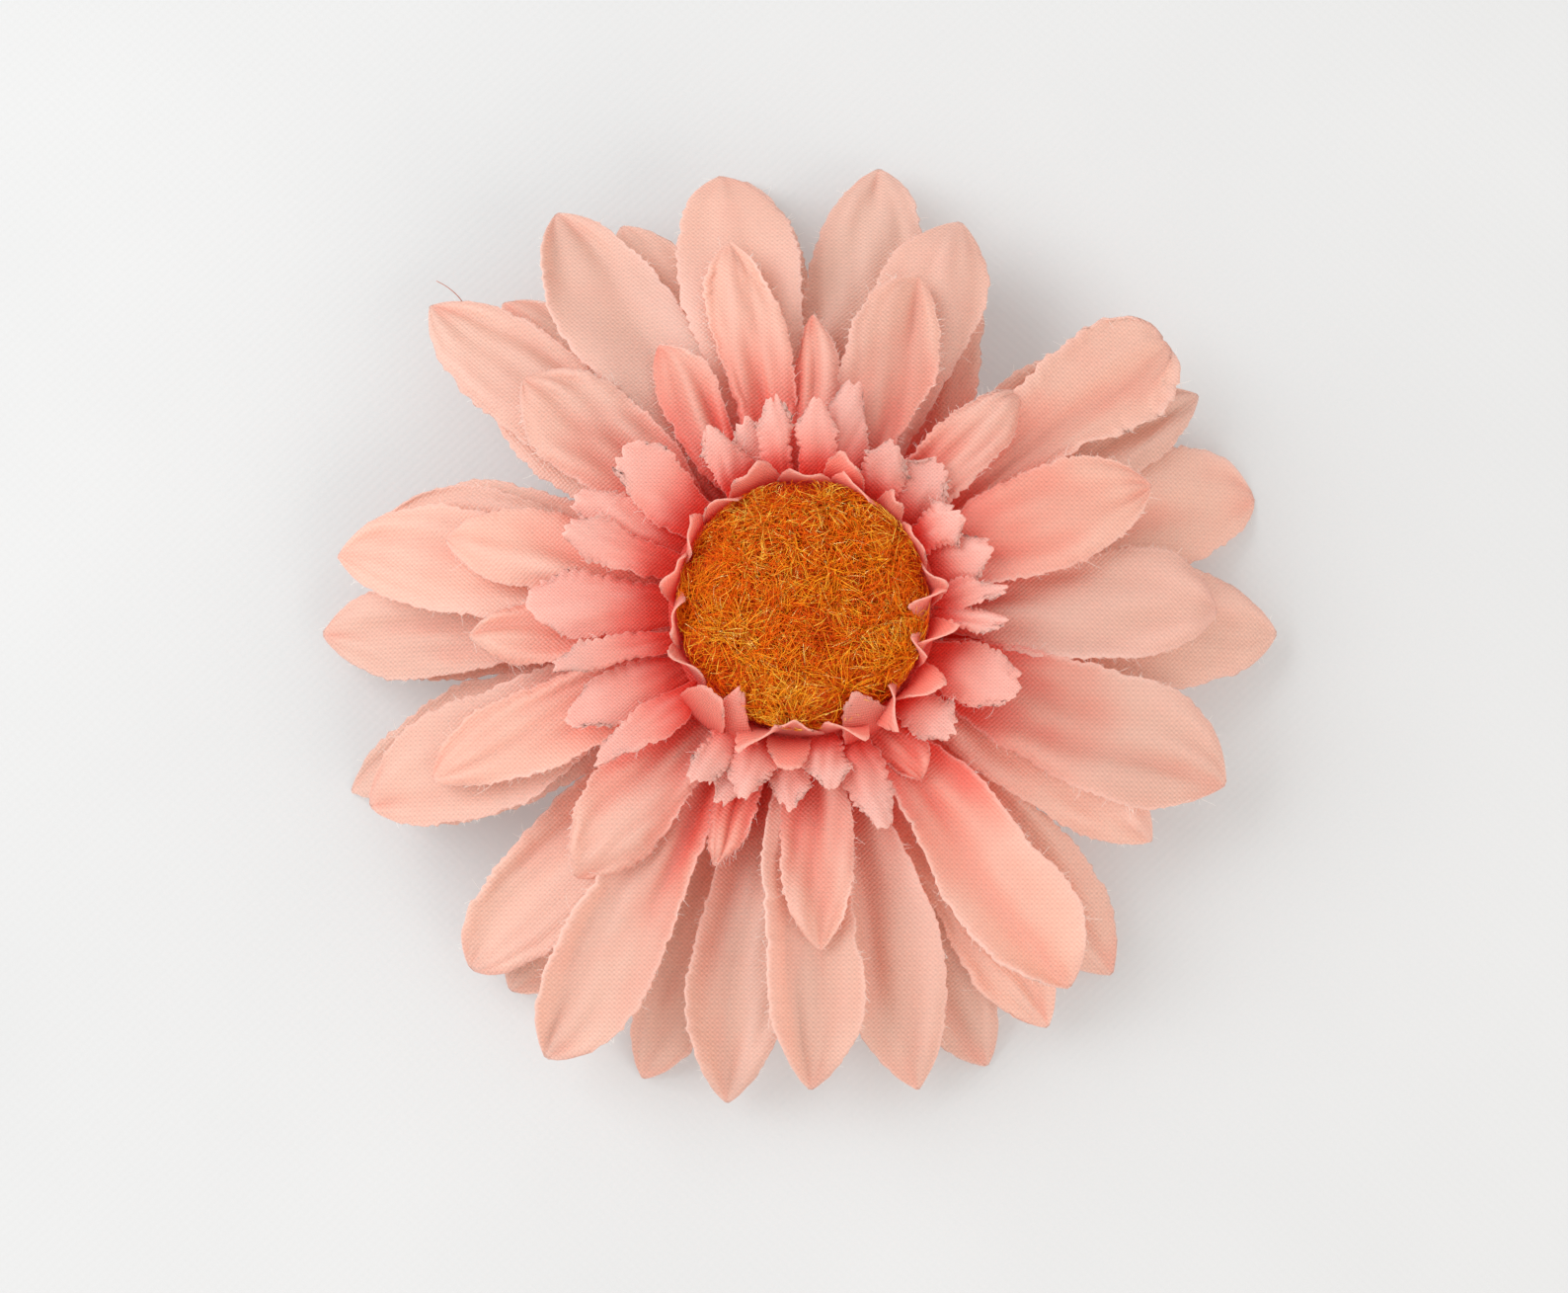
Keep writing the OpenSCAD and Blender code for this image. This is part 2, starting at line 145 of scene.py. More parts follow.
def fibre_tubes(lines: np.ndarray, radii: np.ndarray) -> Skin:
    """Sweeps three-sided tubes along many short lines at once, with a triangle at each end.

    Args:
        lines: Points of the lines, as (line, point, 3).
        radii: Radius at each point, as (line, point).

    Returns:
        The points and the triangles of all the tubes.
    """
    count, steps = lines.shape[:2]
    along = unit(np.gradient(lines, axis=1))
    helper = np.where(np.abs(along[..., 2:3]) > 0.9, [1.0, 0.0, 0.0], [0.0, 0.0, 1.0])
    side = unit(np.cross(along, helper))
    other = np.cross(along, side)
    angle = np.arange(3) * 2 * np.pi / 3
    ring = side[:, :, None] * np.cos(angle)[:, None] + other[:, :, None] * np.sin(angle)[:, None]
    points = lines[:, :, None] + ring * radii[:, :, None, None]
    corner = np.arange(3)
    following = (corner + 1) % 3
    start = (np.arange(steps - 1) * 3)[:, None]
    a, b = start + corner, start + following
    walls = np.stack([np.stack([a, b, b + 3], -1), np.stack([a, b + 3, a + 3], -1)], 2).reshape(-1, 3)
    last = (steps - 1) * 3
    caps = np.array([[2, 1, 0], [last, last + 1, last + 2]])
    one = np.concatenate([walls, caps])
    faces = (one[None] + (np.arange(count) * steps * 3)[:, None, None]).reshape(-1, 3)
    return points.reshape(-1, 3), faces


def hair_piece(
    name: str,
    lines: np.ndarray,
    radii: np.ndarray,
    material: bpy.types.Material,
    tone: np.ndarray | None = None,
) -> bpy.types.Object:
    """Makes a piece of many hairs, which carries the share along each hair as the attribute along.

    Args:
        name: Name of the piece.
        lines: Points of the hairs, as (line, point, 3).
        radii: Radius at each point, as (line, point).
        material: Its finish.
        tone: One number for each hair, for the attribute tone, or None.

    Returns:
        The piece.
    """
    count, steps = lines.shape[:2]
    values = {} if tone is None else {"tone": np.repeat(tone, 3 * steps)}
    values["along"] = np.tile(np.repeat(np.linspace(0, 1, steps), 3), count)
    return make_piece(name, fibre_tubes(lines, radii), material, attributes=values)


def spun(r: np.ndarray, z: np.ndarray, turns: int) -> Skin:
    """Turns an outline into a closed round solid.

    Args:
        r: Distance of each point from the axis, 0 at both ends, from the foot round the outside to the top.
        z: Height of each point.
        turns: Number of points round the axis.

    Returns:
        The points and the triangles.
    """
    angle = np.linspace(0, 2 * np.pi, turns, endpoint=False)
    height = np.repeat(z[1:-1, None, None], turns, 1)
    rings = np.concatenate([around(r[1:-1, None], angle), height], -1)
    points = np.concatenate([rings.reshape(-1, 3), [[0, 0, z[0]], [0, 0, z[-1]]]])
    index = np.arange(len(points) - 2).reshape(-1, turns)
    right = np.roll(index, -1, axis=1)
    foot, top = np.full(turns, len(points) - 2), np.full(turns, len(points) - 1)
    corners = [
        (index[:-1], right[:-1], right[1:]), (index[:-1], right[1:], index[1:]),
        (foot, right[0], index[0]), (top, index[-1], right[-1]),
    ]
    return points, np.concatenate([np.stack(three, -1).reshape(-1, 3) for three in corners])


def make_piece(
    name: str,
    skin: Skin,
    material: bpy.types.Material,
    uv: np.ndarray | None = None,
    attributes: dict[str, np.ndarray] | None = None,
) -> bpy.types.Object:
    """Makes a smooth-shaded object from arrays, which rides on the flower's body.

    Args:
        name: Name of the piece.
        skin: Its points in metres, and its faces, all with the same number of corners.
        material: Its finish.
        uv: One pair of flat coordinates for each point, or None.
        attributes: One number for each point, under each attribute's name.

    Returns:
        The new object.
    """
    points, faces = skin
    mesh = bpy.data.meshes.new(name)
    mesh.from_pydata(points.astype(np.float32), [], faces.astype(np.int32))
    if uv is not None:
        layer = mesh.uv_layers.new(name="cut")
        corners = np.empty(len(mesh.loops), np.int32)
        mesh.loops.foreach_get("vertex_index", corners)
        layer.data.foreach_set("uv", uv[corners].astype(np.float32).ravel())
    for key, values in (attributes or {}).items():
        mesh.attributes.new(key, "FLOAT", "POINT").data.foreach_set("value", values.astype(np.float32))
    mesh.polygons.foreach_set("use_smooth", np.ones(len(mesh.polygons), bool))
    mesh.validate()
    mesh.materials.append(material)
    piece = bpy.data.objects.new(name, mesh)
    bpy.context.scene.collection.objects.link(piece)
    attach(piece, FLOWER_BODY)
    LOG.info("%s: %d points, %d faces", name, len(points), len(faces))
    return piece


# ---------------------------------------------------------------- finishes


class Graph:
    """A material's node tree, with short ways to add and join nodes."""

    def __init__(self, name: str) -> None:
        """Starts an empty material.

        Args:
            name: Name of the material.
        """
        self.material = bpy.data.materials.new(name)
        self.material.use_nodes = True
        self.tree = self.material.node_tree
        self.tree.nodes.clear()

    def add(self, kind: str, values: dict | None = None, **settings: object) -> bpy.types.Node:
        """Adds a node.

        Args:
            kind: Node type without its "ShaderNode" prefix.
            values: For each input, by name or number, a constant or another node's output.
            **settings: The node's own properties.

        Returns:
            The new node.
        """
        node = self.tree.nodes.new("ShaderNode" + kind)
        for key, value in settings.items():
            setattr(node, key, value)
        for key, value in (values or {}).items():
            if isinstance(value, bpy.types.NodeSocket):
                self.tree.links.new(value, node.inputs[key])
            else:
                node.inputs[key].default_value = value
        return node

    def math(self, operation: str, a: object, b: object = 0.0, clamp: bool = False) -> bpy.types.NodeSocket:
        """Joins two numbers or outputs with a Math node, kept from 0 to 1 if clamp is set."""
        return self.add("Math", {0: a, 1: b}, operation=operation, use_clamp=clamp).outputs[0]

    def mix(self, share: object, a: object, b: object, blend: str = "MIX") -> bpy.types.NodeSocket:
        """Mixes two colours and returns the result.

        Args:
            share: Share of the second colour.
            a: First colour.
            b: Second colour.
            blend: Blend type of the Mix node.

        Returns:
            The mixed colour.
        """
        node = self.add("Mix", data_type="RGBA", blend_type=blend, clamp_factor=True)
        for socket, value in ((node.inputs[0], share), (node.inputs[6], a), (node.inputs[7], b)):
            if isinstance(value, bpy.types.NodeSocket):
                self.tree.links.new(value, socket)
            else:
                socket.default_value = value
        return node.outputs[2]

    def ramp(self, value: bpy.types.NodeSocket, stops: list[tuple[float, Colour]]) -> bpy.types.NodeSocket:
        """Turns a number into a colour.

        Args:
            value: Number from 0 to 1.
            stops: Places and linear colours along the ramp.

        Returns:
            The colour.
        """
        node = self.add("ValToRGB", {0: value})
        elements = node.color_ramp.elements
        while len(elements) < len(stops):
            elements.new(0.5)
        for element, (place, colour) in zip(elements, stops):
            element.position, element.color = place, (*colour, 1)
        return node.outputs[0]

    def attribute(self, name: str) -> bpy.types.NodeSocket:
        """Reads one of the piece's own numbers."""
        return self.add("Attribute", attribute_name=name).outputs["Fac"]

    def noise(self, vector: bpy.types.NodeSocket, scale: float, detail: float = 2.0) -> bpy.types.NodeSocket:
        """Adds a noise texture over some coordinates and returns its value from 0 to 1."""
        return self.add("TexNoise", {"Vector": vector, "Scale": scale, "Detail": detail}).outputs[0]

    def finish(self, surface: bpy.types.NodeSocket) -> bpy.types.Material:
        """Joins the surface to the output and returns the finished material."""
        self.add("OutputMaterial", {"Surface": surface})
        return self.material


@dataclass(frozen=True)
class ClothFinish:
    """Plain-weave polyester with a satin sheen, dyed deeper towards the hub and pale along its cut edge, with
    painted shade in its gaps and creases and painted highlights on its ridges and curled edges.
    """

    name: str
    tip: Colour
    middle: Colour
    base: Colour
    # Pale colour of the frayed cut edge, also used for the painted highlights.
    edge: Colour = (1.0, 0.77, 0.7)
    weave_mm: float = 0.52
    weave_tone: float = 0.1
    weft_tone: float = 0.03
    mottling: float = 0.35
    petal_tone: float = 0.05
    translucency: float = 0.56

    def build(self) -> bpy.types.Material:
        """Makes the material.

        Returns:
            The cloth material, which reads the UV map "cut" and the attributes tint, rim and shade.
        """
        g = Graph(self.name)
        flat = g.add("UVMap", uv_map="cut").outputs[0]
        axes = g.add("SeparateXYZ", {0: flat})
        turns = 2 * math.pi / (self.weave_mm * MM)
        wobble = g.math("MULTIPLY", g.noise(flat, 260.0), 2.2)
        warp = g.math("SINE", g.math("ADD", g.math("MULTIPLY", axes.outputs[0], turns), wobble))
        weft = g.math("SINE", g.math("ADD", g.math("MULTIPLY", axes.outputs[1], turns * 1.08), wobble))
        weave = g.math("MULTIPLY", warp, weft)
        mottle = g.noise(flat, 190.0, 4.0)
        patches = g.math("MULTIPLY", g.math("SUBTRACT", mottle, 0.5), self.mottling)
        # The tint attribute holds the dye and the painted shade in gaps and creases; the ramp makes it
        # colour.
        dye_and_shade = g.math("ADD", g.attribute("dye_and_shade"), patches, True)
        dye = g.ramp(dye_and_shade, [(0.0, self.tip), (0.45, self.middle), (1.0, self.base)])
        shade = g.math("ADD", g.math("MULTIPLY", g.attribute("shade"), self.petal_tone), 1.0)
        raised, across = g.math("MULTIPLY", weave, self.weave_tone), g.math("MULTIPLY", weft, self.weft_tone)
        thread = g.math("ADD", g.math("ADD", raised, across), shade)
        grey = g.add("CombineColor", {0: thread, 1: thread, 2: thread}).outputs[0]
        cloth = g.mix(1.0, dye, grey, "MULTIPLY")
        # The rim mixes in the pale edge colour: the frayed cut edge and painted highlights.
        ragged = g.math("MULTIPLY", g.attribute("rim"), g.math("ADD", mottle, 0.2), True)
        colour = g.mix(ragged, cloth, (*self.edge, 1))
        height = g.math("ADD", g.math("MULTIPLY", weave, 0.5), g.math("MULTIPLY", mottle, 1.5))
        bump = g.add("Bump", {"Strength": 0.6, "Distance": 0.00012, "Height": height}).outputs[0]
        solid = g.add(
            "BsdfPrincipled",
            {
                "Base Color": colour,
                "Roughness": 0.38,
                "Sheen Weight": 0.2,
                "Sheen Roughness": 0.4,
                "Sheen Tint": (1.0, 0.9, 0.88, 1),
                "Specular IOR Level": 0.5,
                "Normal": bump,
            },
        )
        lit = g.add("BsdfTranslucent", {"Color": colour, "Normal": bump})
        both = g.add("MixShader", {0: self.translucency, 1: solid.outputs[0], 2: lit.outputs[0]})
        return g.finish(both.outputs[0])


@dataclass(frozen=True)
class ThreadFinish:
    """Loose threads and hairs of cloth, paler towards their ends."""

    name: str
    colour: Colour

    def build(self) -> bpy.types.Material:
        """Makes the material.

        Returns:
            The thread material, which reads the attribute along.
        """
        g = Graph(self.name)
        pale = tuple(min(1.0, c * 1.25 + 0.08) for c in self.colour)
        colour = g.ramp(g.attribute("along"), [(0.0, self.colour), (1.0, pale)])
        return g.finish(g.add("BsdfPrincipled", {"Base Color": colour, "Roughness": 0.6}).outputs[0])


@dataclass(frozen=True)
class FibreFinish:
    """Pile fibres, each with its own tone, darkened towards their root's colour as painted shade deep in the
    pile.
    """

    name: str
    stops: tuple[tuple[float, Colour], ...]
    # Painted shade that each fibre takes on towards its root.
    root: Colour
    metallic: float = 0.0
    roughness: float = 0.45

    def build(self) -> bpy.types.Material:
        """Makes the material.

        Returns:
            The fibre material, which reads the attributes tone and along.
        """
        g = Graph(self.name)
        colour = g.ramp(g.attribute("tone"), list(self.stops))
        # Painted shade: each fibre runs into its darker root colour towards the bed, as (1 - along)^1.6.
        root_shade = g.math("POWER", g.math("SUBTRACT", 1.0, g.attribute("along"), True), 1.6)
        mixed = g.mix(root_shade, colour, (*self.root, 1))
        values = {"Roughness": self.roughness, "Metallic": self.metallic, "Specular IOR Level": 0.15}
        return g.finish(g.add("BsdfPrincipled", {"Base Color": mixed, **values}).outputs[0])


@dataclass(frozen=True)
class MetalFinish:
    """Nickel-plated sheet steel with faint drawing lines and scuffs."""

    name: str
    colour: Colour
    roughness: float

    def build(self) -> bpy.types.Material:
        """Makes the material.

        Returns:
            The metal material.
        """
        g = Graph(self.name)
        place = g.add("TexCoord").outputs["Object"]
        drawn = g.add("Mapping", {"Vector": place, "Scale": (60.0, 2600.0, 900.0)}).outputs[0]
        lines = g.noise(drawn, 1.0, 3.0)
        scuffs = g.noise(place, 420.0, 5.0)
        rough = g.math("ADD", g.math("MULTIPLY", scuffs, 0.2), self.roughness - 0.1)
        dull = tuple(c * 0.84 for c in self.colour)
        colour = g.mix(g.math("POWER", scuffs, 2.0), (*self.colour, 1), (*dull, 1))
        bump = g.add("Bump", {"Strength": 0.25, "Distance": 0.00003, "Height": lines}).outputs[0]
        values = {"Base Color": colour, "Metallic": 1.0, "Roughness": rough, "Normal": bump}
        return g.finish(g.add("BsdfPrincipled", values).outputs[0])


@dataclass(frozen=True)
class SoftFinish:
    """Felt, moulded plastic or hot glue: one colour with its own grain, gloss and glow."""

    name: str
    colour: Colour
    grain: float
    depth_mm: float
    roughness: float
    sheen: float = 0.0
    glow: float = 0.0

    def build(self) -> bpy.types.Material:
        """Makes the material.

        Returns:
            The material.
        """
        g = Graph(self.name)
        place = g.add("TexCoord").outputs["Object"]
        grain = g.noise(place, self.grain, 6.0)
        dark, light = (tuple(c * k for c in self.colour) for k in (0.8, 1.1))
        colour = g.ramp(grain, [(0.3, dark), (0.7, light)])
        bump = g.add("Bump", {"Strength": 0.6, "Distance": self.depth_mm * MM, "Height": grain}).outputs[0]
        values = {
            "Base Color": colour,
            "Roughness": self.roughness,
            "Sheen Weight": self.sheen,
            "Subsurface Weight": self.glow,
            "Subsurface Radius": (0.004, 0.002, 0.0015),
            "Subsurface Scale": 0.3,
            "Normal": bump,
        }
        return g.finish(g.add("BsdfPrincipled", values).outputs[0])


# ---------------------------------------------------------------- cloth sheets


def cloth_piece(name: str, parts: list[Patch], finish: ClothFinish) -> bpy.types.Object:
    """Gives patches of cloth their thickness and joins them into one piece.

    Args:
        name: Name of the piece.
        parts: The patches.
        finish: The cloth.

    Returns:
        The piece.
    """
    points, faces, cuts, marks, first = [], [], [], {"dye_and_shade": [], "rim": [], "shade": []}, 0
    for grid, cut, values in parts:
        p, f, place = shell(grid, CLOTH_MM * MM)
        points.append(p)
        faces.append(f + first)
        cuts.append(cut.reshape(-1, 2)[place])
        for key, found in marks.items():
            found.append(values[key].ravel()[place])
        first += len(p)
    attributes = {key: np.concatenate(found) for key, found in marks.items()}
    skin = np.concatenate(points), np.concatenate(faces)
    return make_piece(name, skin, finish.build(), np.concatenate(cuts), attributes)


@dataclass(frozen=True)
class Tongue:
    """One petal or strap of a die-cut sheet.

    direction and half are in degrees, reach is a share of the flower's radius. bend is the tip's step to the
    left, lift its rise, right and left the curls of its edges and hook the curl of its tip, all in
    millimetres. twist tips its end sideways in degrees, blunt rounds its end, torn frays it, and fold is how
    deep in millimetres it is folded lengthwise.
    """

    direction: float
    reach: float
    half: float
    bend: float = 0.0
    lift: float = 0.0
    right: float = 0.4
    left: float = 0.45
    hook: float = 0.0
    twist: float = 0.0
    blunt: float = 0.15
    torn: float = 0.0
    fold: float = 0.5


@dataclass(frozen=True)
class Arch:
    """How a sheet rises at its hub and falls to a tip height, as a parabola, in millimetres."""

    rise: float
    tip_mm: float


@dataclass
class ClothSheet:
    """A die-cut sheet of cloth: a flat hub and its tongues."""

    node: str
    washer: str
    slot: str
    finish: ClothFinish
    tongues: tuple[Tongue, ...]
    hub_mm: float
    arch: Arch
    top_mm: float
    reach_mm: float
    seed: int
    tip: Tip = Tip.PETAL
    pillow_mm: float = 1.2
    crumple_mm: float = 0.75
    widen: float = 1.06
    rows: int = 84
    cols: int = 25
    floor_mm: float = 0.25
    hole_mm: float = 1.9
    threads: int = 110
    stray_on: int | None = None
    flat_area: float = field(default=0.0, init=False)

    @property
    def name(self) -> str:
        """Names the piece after the node that it stands for."""
        return self.node + "_cloth"

    def arch_z(self, x: np.ndarray) -> np.ndarray:
        """Gives the height of the sheet's middle line.

        Args:
            x: Distance from the flower's axis, in millimetres.

        Returns:
            z = top + rise (x - hub) - fall (x - hub)^2, with fall set so that the arch meets its tip height.
        """
        run = self.reach_mm - self.hub_mm
        fall = (self.top_mm + self.arch.rise * run - self.arch.tip_mm) / run**2
        return self.top_mm + self.arch.rise * (x - self.hub_mm) - fall * (x - self.hub_mm) ** 2

    def half_width(self, u: np.ndarray, tongue: Tongue, skew: float) -> np.ndarray:
        """Gives the share of a tongue's half width along one of its sides.

        Args:
            u: Share of the way along the tongue.
            tongue: The tongue.
            skew: How much later this side starts to draw in.

        Returns:
            0.72 rising to 1 at the root. Over a petal's outer part v that is times (1 - v^p)^q, where a blunt
            tip has the larger p and the smaller q, and a strap is drawn in by 0.42 at its end.
        """
        root = np.minimum(0.72 + 0.75 * u, 1)
        if self.tip is Tip.STRAP:
            return root * (1 - 0.42 * smooth(0.7, 1, u) ** 1.5)
        v = np.clip((u - 0.47 - skew) / (0.53 - skew), 0, 1)
        return root * np.maximum(1 - v ** (2.1 + 1.6 * tongue.blunt), 0.01) ** (0.86 - 0.32 * tongue.blunt)

    def edge_steps(self, rng: np.random.Generator, count: int, torn: float) -> np.ndarray:
        """Makes the raggedness of one cut edge.

        Args:
            rng: Source of random numbers.
            count: Number of points along the edge.
            torn: Extra tatters of a frayed petal, from 0 to 1.

        Returns:
            Sideways steps in millimetres: fine tatters, and for a strap the teeth of pinking shears too.
        """
        tatter = (0.17 + 0.1 * torn) * wander(rng, count, 1) + 0.15 * wander(rng, count, 4)
        tatter = tatter + (0.7 + 0.3 * torn) * wander(rng, count, 17)
        if self.tip is Tip.PETAL:
            return tatter
        saw = (np.arange(count) / count * rng.uniform(9, 12) + rng.uniform(0, 1)) % 1
        return tatter + 0.26 * (np.abs(saw * 2 - 1) - 0.5) * (1 + 0.6 * wander(rng, count, 5))

    @staticmethod
    def crumple(u: np.ndarray, s: np.ndarray, rng: np.random.Generator) -> np.ndarray:
        """Sums sine waves that run mostly across a tongue, each finer one weaker.

        Args:
            u: Share of the way along.
            s: Share of the way across, from -1 to 1.
            rng: Source of random numbers.

        Returns:
            A height of about -1 to 1.
        """
        total = 0 * u * s
        for k in range(1, 7):
            fu, fs = rng.uniform(0.25, 0.7) * k, rng.uniform(-0.5, 0.5) * k
            total = total + np.sin(2 * np.pi * (fu * u + fs * s) + rng.uniform(0, 6.3)) / (1.6 * k**0.9)
        return total

    def surface(self, tongue: Tongue, rng: np.random.Generator) -> Patch:
        """Shapes one tongue over u, from 0 at the hub to 1 at the tip, and s, from -1 to 1 across.

        It runs out to its reach, s times the half width to each side, with ragged steps at its edges and end.
        Its height is the sheet's arch, plus lift u^2 and the hook, plus a pillow 1 - s^2 less two valleys
        that are bell curves over s, plus the fold |s|^1.3, curled edges, crumples and gathers at the root.
        These fade at the root and at the tip, and a soft floor keeps it above the ground. Last, it is stepped
        by bend u^2 and turned to its direction.

        Args:
            tongue: The tongue.
            rng: Source of random numbers.

        Returns:
            The patch of cloth.
        """
        u = np.linspace(0, 1, self.rows)[:, None] ** 0.92
        s = np.sin(np.pi / 2 * np.linspace(-1, 1, self.cols))[None]
        reach = tongue.reach * self.reach_mm
        strap = self.tip is Tip.STRAP
        x = self.hub_mm - 1 + (reach - self.hub_mm + 1) * u
        end = 0.2 * wander(rng, self.cols, 1) + (0.5 + 1.1 * tongue.torn) * wander(rng, self.cols, 4)
        if strap:
            saw = (np.arange(self.cols) / self.cols * 4.3 + rng.uniform()) % 1
            end = end + 0.5 * (np.abs(saw * 2 - 1) - 0.5) - 1.3 * np.abs(s[0]) ** 2.5
        skew = 0.12 * rng.uniform(-1, 1)
        share = np.where(s < 0, self.half_width(u, tongue, skew), self.half_width(u, tongue, -skew))
        calm = np.minimum(1.5 * share, 1)
        x = x + end * smooth(0.55, 1, u) * (1.0 if strap else 0.6) * calm
        ahead = 0.4 * x + 0.6 * 17.0 if strap else x
        width = ahead * math.tan(math.radians(tongue.half * self.widen)) * share
        steps = [self.edge_steps(rng, self.rows, tongue.torn)[:, None] for _ in range(2)]
        ragged = np.where(s < 0, -steps[0], steps[1]) * smooth(0.4, 1, np.abs(s)) * smooth(0.1, 0.3, u) * calm
        y = flat_y = s * width + ragged

        body = smooth(0.04, 0.4, u)
        pillow = self.pillow_mm * rng.uniform(0.7, 1.3)
        crease_at = rng.uniform(-0.35, 0.35) + 0.14 * np.sin(2.4 * u + rng.uniform(0, 6))
        second_at = crease_at + rng.choice([-1, 1]) * rng.uniform(0.4, 0.65)
        h = pillow * (1 - s**2) * body
        first, second, spread = (0.35, 0.15, 0.32) if strap else (0.6, 0.42, 0.28)
        valley = first * np.exp(-(((s - crease_at) / spread) ** 2)) * (1 - 0.5 * smooth(0.6, 0.95, u))
        valley = valley + second * np.exp(-(((s - second_at) / spread) ** 2)) * (1 - smooth(0.5, 0.95, u))
        h = h - pillow * valley * body
        if not strap:
            h = h + tongue.fold * np.abs(s + 0.25 * np.sin(2.6 * u + 6 * skew)) ** 1.3 * body
        curl_line = 0.75 + 0.5 * np.sin(rng.uniform(4, 7) * u + rng.uniform(0, 6))
        curls = tongue.right * smooth(0.4, 1, -s) ** 1.4 + tongue.left * smooth(0.4, 1, s) ** 1.4
        h = h + curls * smooth(0.1, 0.5, u) * curl_line
        rumple = self.crumple(u, s, rng)
        h = h + self.crumple_mm * rumple * body
        # fold is a mask of painted light: below 0 in the creases, which get painted shade, above 0 on ridges.
        fold = np.clip((0.55 * rumple + 0.45 - 0.9 * valley) * body, -1, 1)
        gather = 0.1 if strap else 0.32
        h = h + gather * np.cos(3 * np.pi * s) * (1 - smooth(0.05, 0.45, u)) * smooth(0.0, 0.06, u)
        h = h * smooth(0, 0.5, share)
        z = self.arch_z(x) + tongue.lift * u**2 + tongue.hook * smooth(0.7, 1, u) ** 2 + h
        z = z + (math.tan(math.radians(tongue.twist)) * u**2 * y + rng.uniform(-0.4, 0.4) * s) * body
        floor = self.floor_mm
        z = floor + np.logaddexp(0, (z - floor) * 3) / 3
        y = y + tongue.bend * u**2

        grid = np.stack([*turned(x, y, tongue.direction), z], -1) * MM
        cut = np.stack(turned(x, flat_y, tongue.direction), -1) * MM
        out = np.hypot(x, y) / self.reach_mm
        # The tint is dye deeper to the hub, plus painted shade along the edges, where tongues leave gaps.
        if strap:
            dye_and_shade = 1.0 - 0.95 * smooth(0.05, 0.85, u) + 0.1 * np.abs(s)
        else:
            dye_and_shade = 1 - smooth(0.22, 0.76, out + 0.05 * rng.uniform(-1, 1))
            dye_and_shade = dye_and_shade * (0.85 + 0.3 * np.abs(s)) + 0.25 * smooth(0.88, 1, u) * rng.uniform(0, 1)
            # Painted shade in the creases and a painted highlight on the ridges.
            dye_and_shade = dye_and_shade - 0.32 * fold
        # The rim is the pale frayed cut edge, plus painted highlights where edges curl and on ridges.
        rim = smooth(0.9, 1, np.abs(s)) * (0.5 + 0.3 * curls) + 0.5 * smooth(0.98, 1, u)
        rim = rim + 0.46 * np.clip(fold, 0, 1) ** 1.5
        shade = np.full_like(z, rng.uniform(-1, 1))
        gaps = (width[1:] + width[:-1]) * np.diff(x, axis=0)
        self.flat_area += float(gaps.mean(axis=1).sum()) * MM**2
        return grid, cut, {"dye_and_shade": np.clip(dye_and_shade, 0, 1), "rim": np.clip(rim, 0, 1), "shade": shade}

    def hub(self) -> Patch:
        """Shapes the flat hub as a ring round the post.

        Returns:
            The patch of cloth.
        """
        angle = np.linspace(0, 2 * np.pi, 73)[None]
        radius = np.linspace(self.hole_mm, self.hub_mm, 5)[:, None]
        cut = around(radius, angle) * MM
        z = np.full(cut.shape[:2] + (1,), self.top_mm * MM - 0.0001)
        grid = np.concatenate([cut, z], -1)
        ones = np.ones(cut.shape[:2])
        self.flat_area += math.pi * ((self.hub_mm * MM) ** 2 - (self.hole_mm * MM) ** 2)
        return grid, cut, {"dye_and_shade": ones, "rim": 0 * ones, "shade": 0 * ones}

    def build(self) -> bpy.types.Object:
        """Builds the sheet and its loose threads.

        Returns:
            The sheet's object.
        """
        rng = np.random.default_rng(self.seed)
        parts = [self.hub()] + [self.surface(t, rng) for t in self.tongues]
        piece = cloth_piece(self.name, parts, self.finish)
        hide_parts(self.node)
        grids = [p[0] for p in parts[1:]]
        threads = [self.loose_threads(grids, rng)]
        if self.stray_on is not None:
            threads.append(self.stray_thread(grids[self.stray_on]))
        return piece

    def stray_thread(self, grid: np.ndarray) -> bpy.types.Object:
        """Adds the one long thread that has come out of a petal's edge near its tip.

        Args:
            grid: The petal's grid.

        Returns:
            The thread, which leaves the right edge, runs on past the tip and rises a little.
        """
        share = np.linspace(0, 1, 12)[:, None]
        foot = grid[int(0.94 * self.rows), 0]
        ahead = grid[-1, self.cols // 2] - grid[self.rows // 2, self.cols // 2]
        ahead = ahead * [1, 1, 0] / np.linalg.norm(ahead[:2])
        side = np.array([ahead[1], -ahead[0], 0])
        bow = side * (0.9 * share - 1.1 * share**2)
        line = foot + (ahead * 3.4 * share + bow + [0, 0, 0.9] * share**2) * MM
        radii = np.linspace(0.07, 0.05, 12)[None] * MM
        material = ThreadFinish("stray_thread", (0.42, 0.12, 0.07)).build()
        return hair_piece("stray_thread", line[None], radii, material)

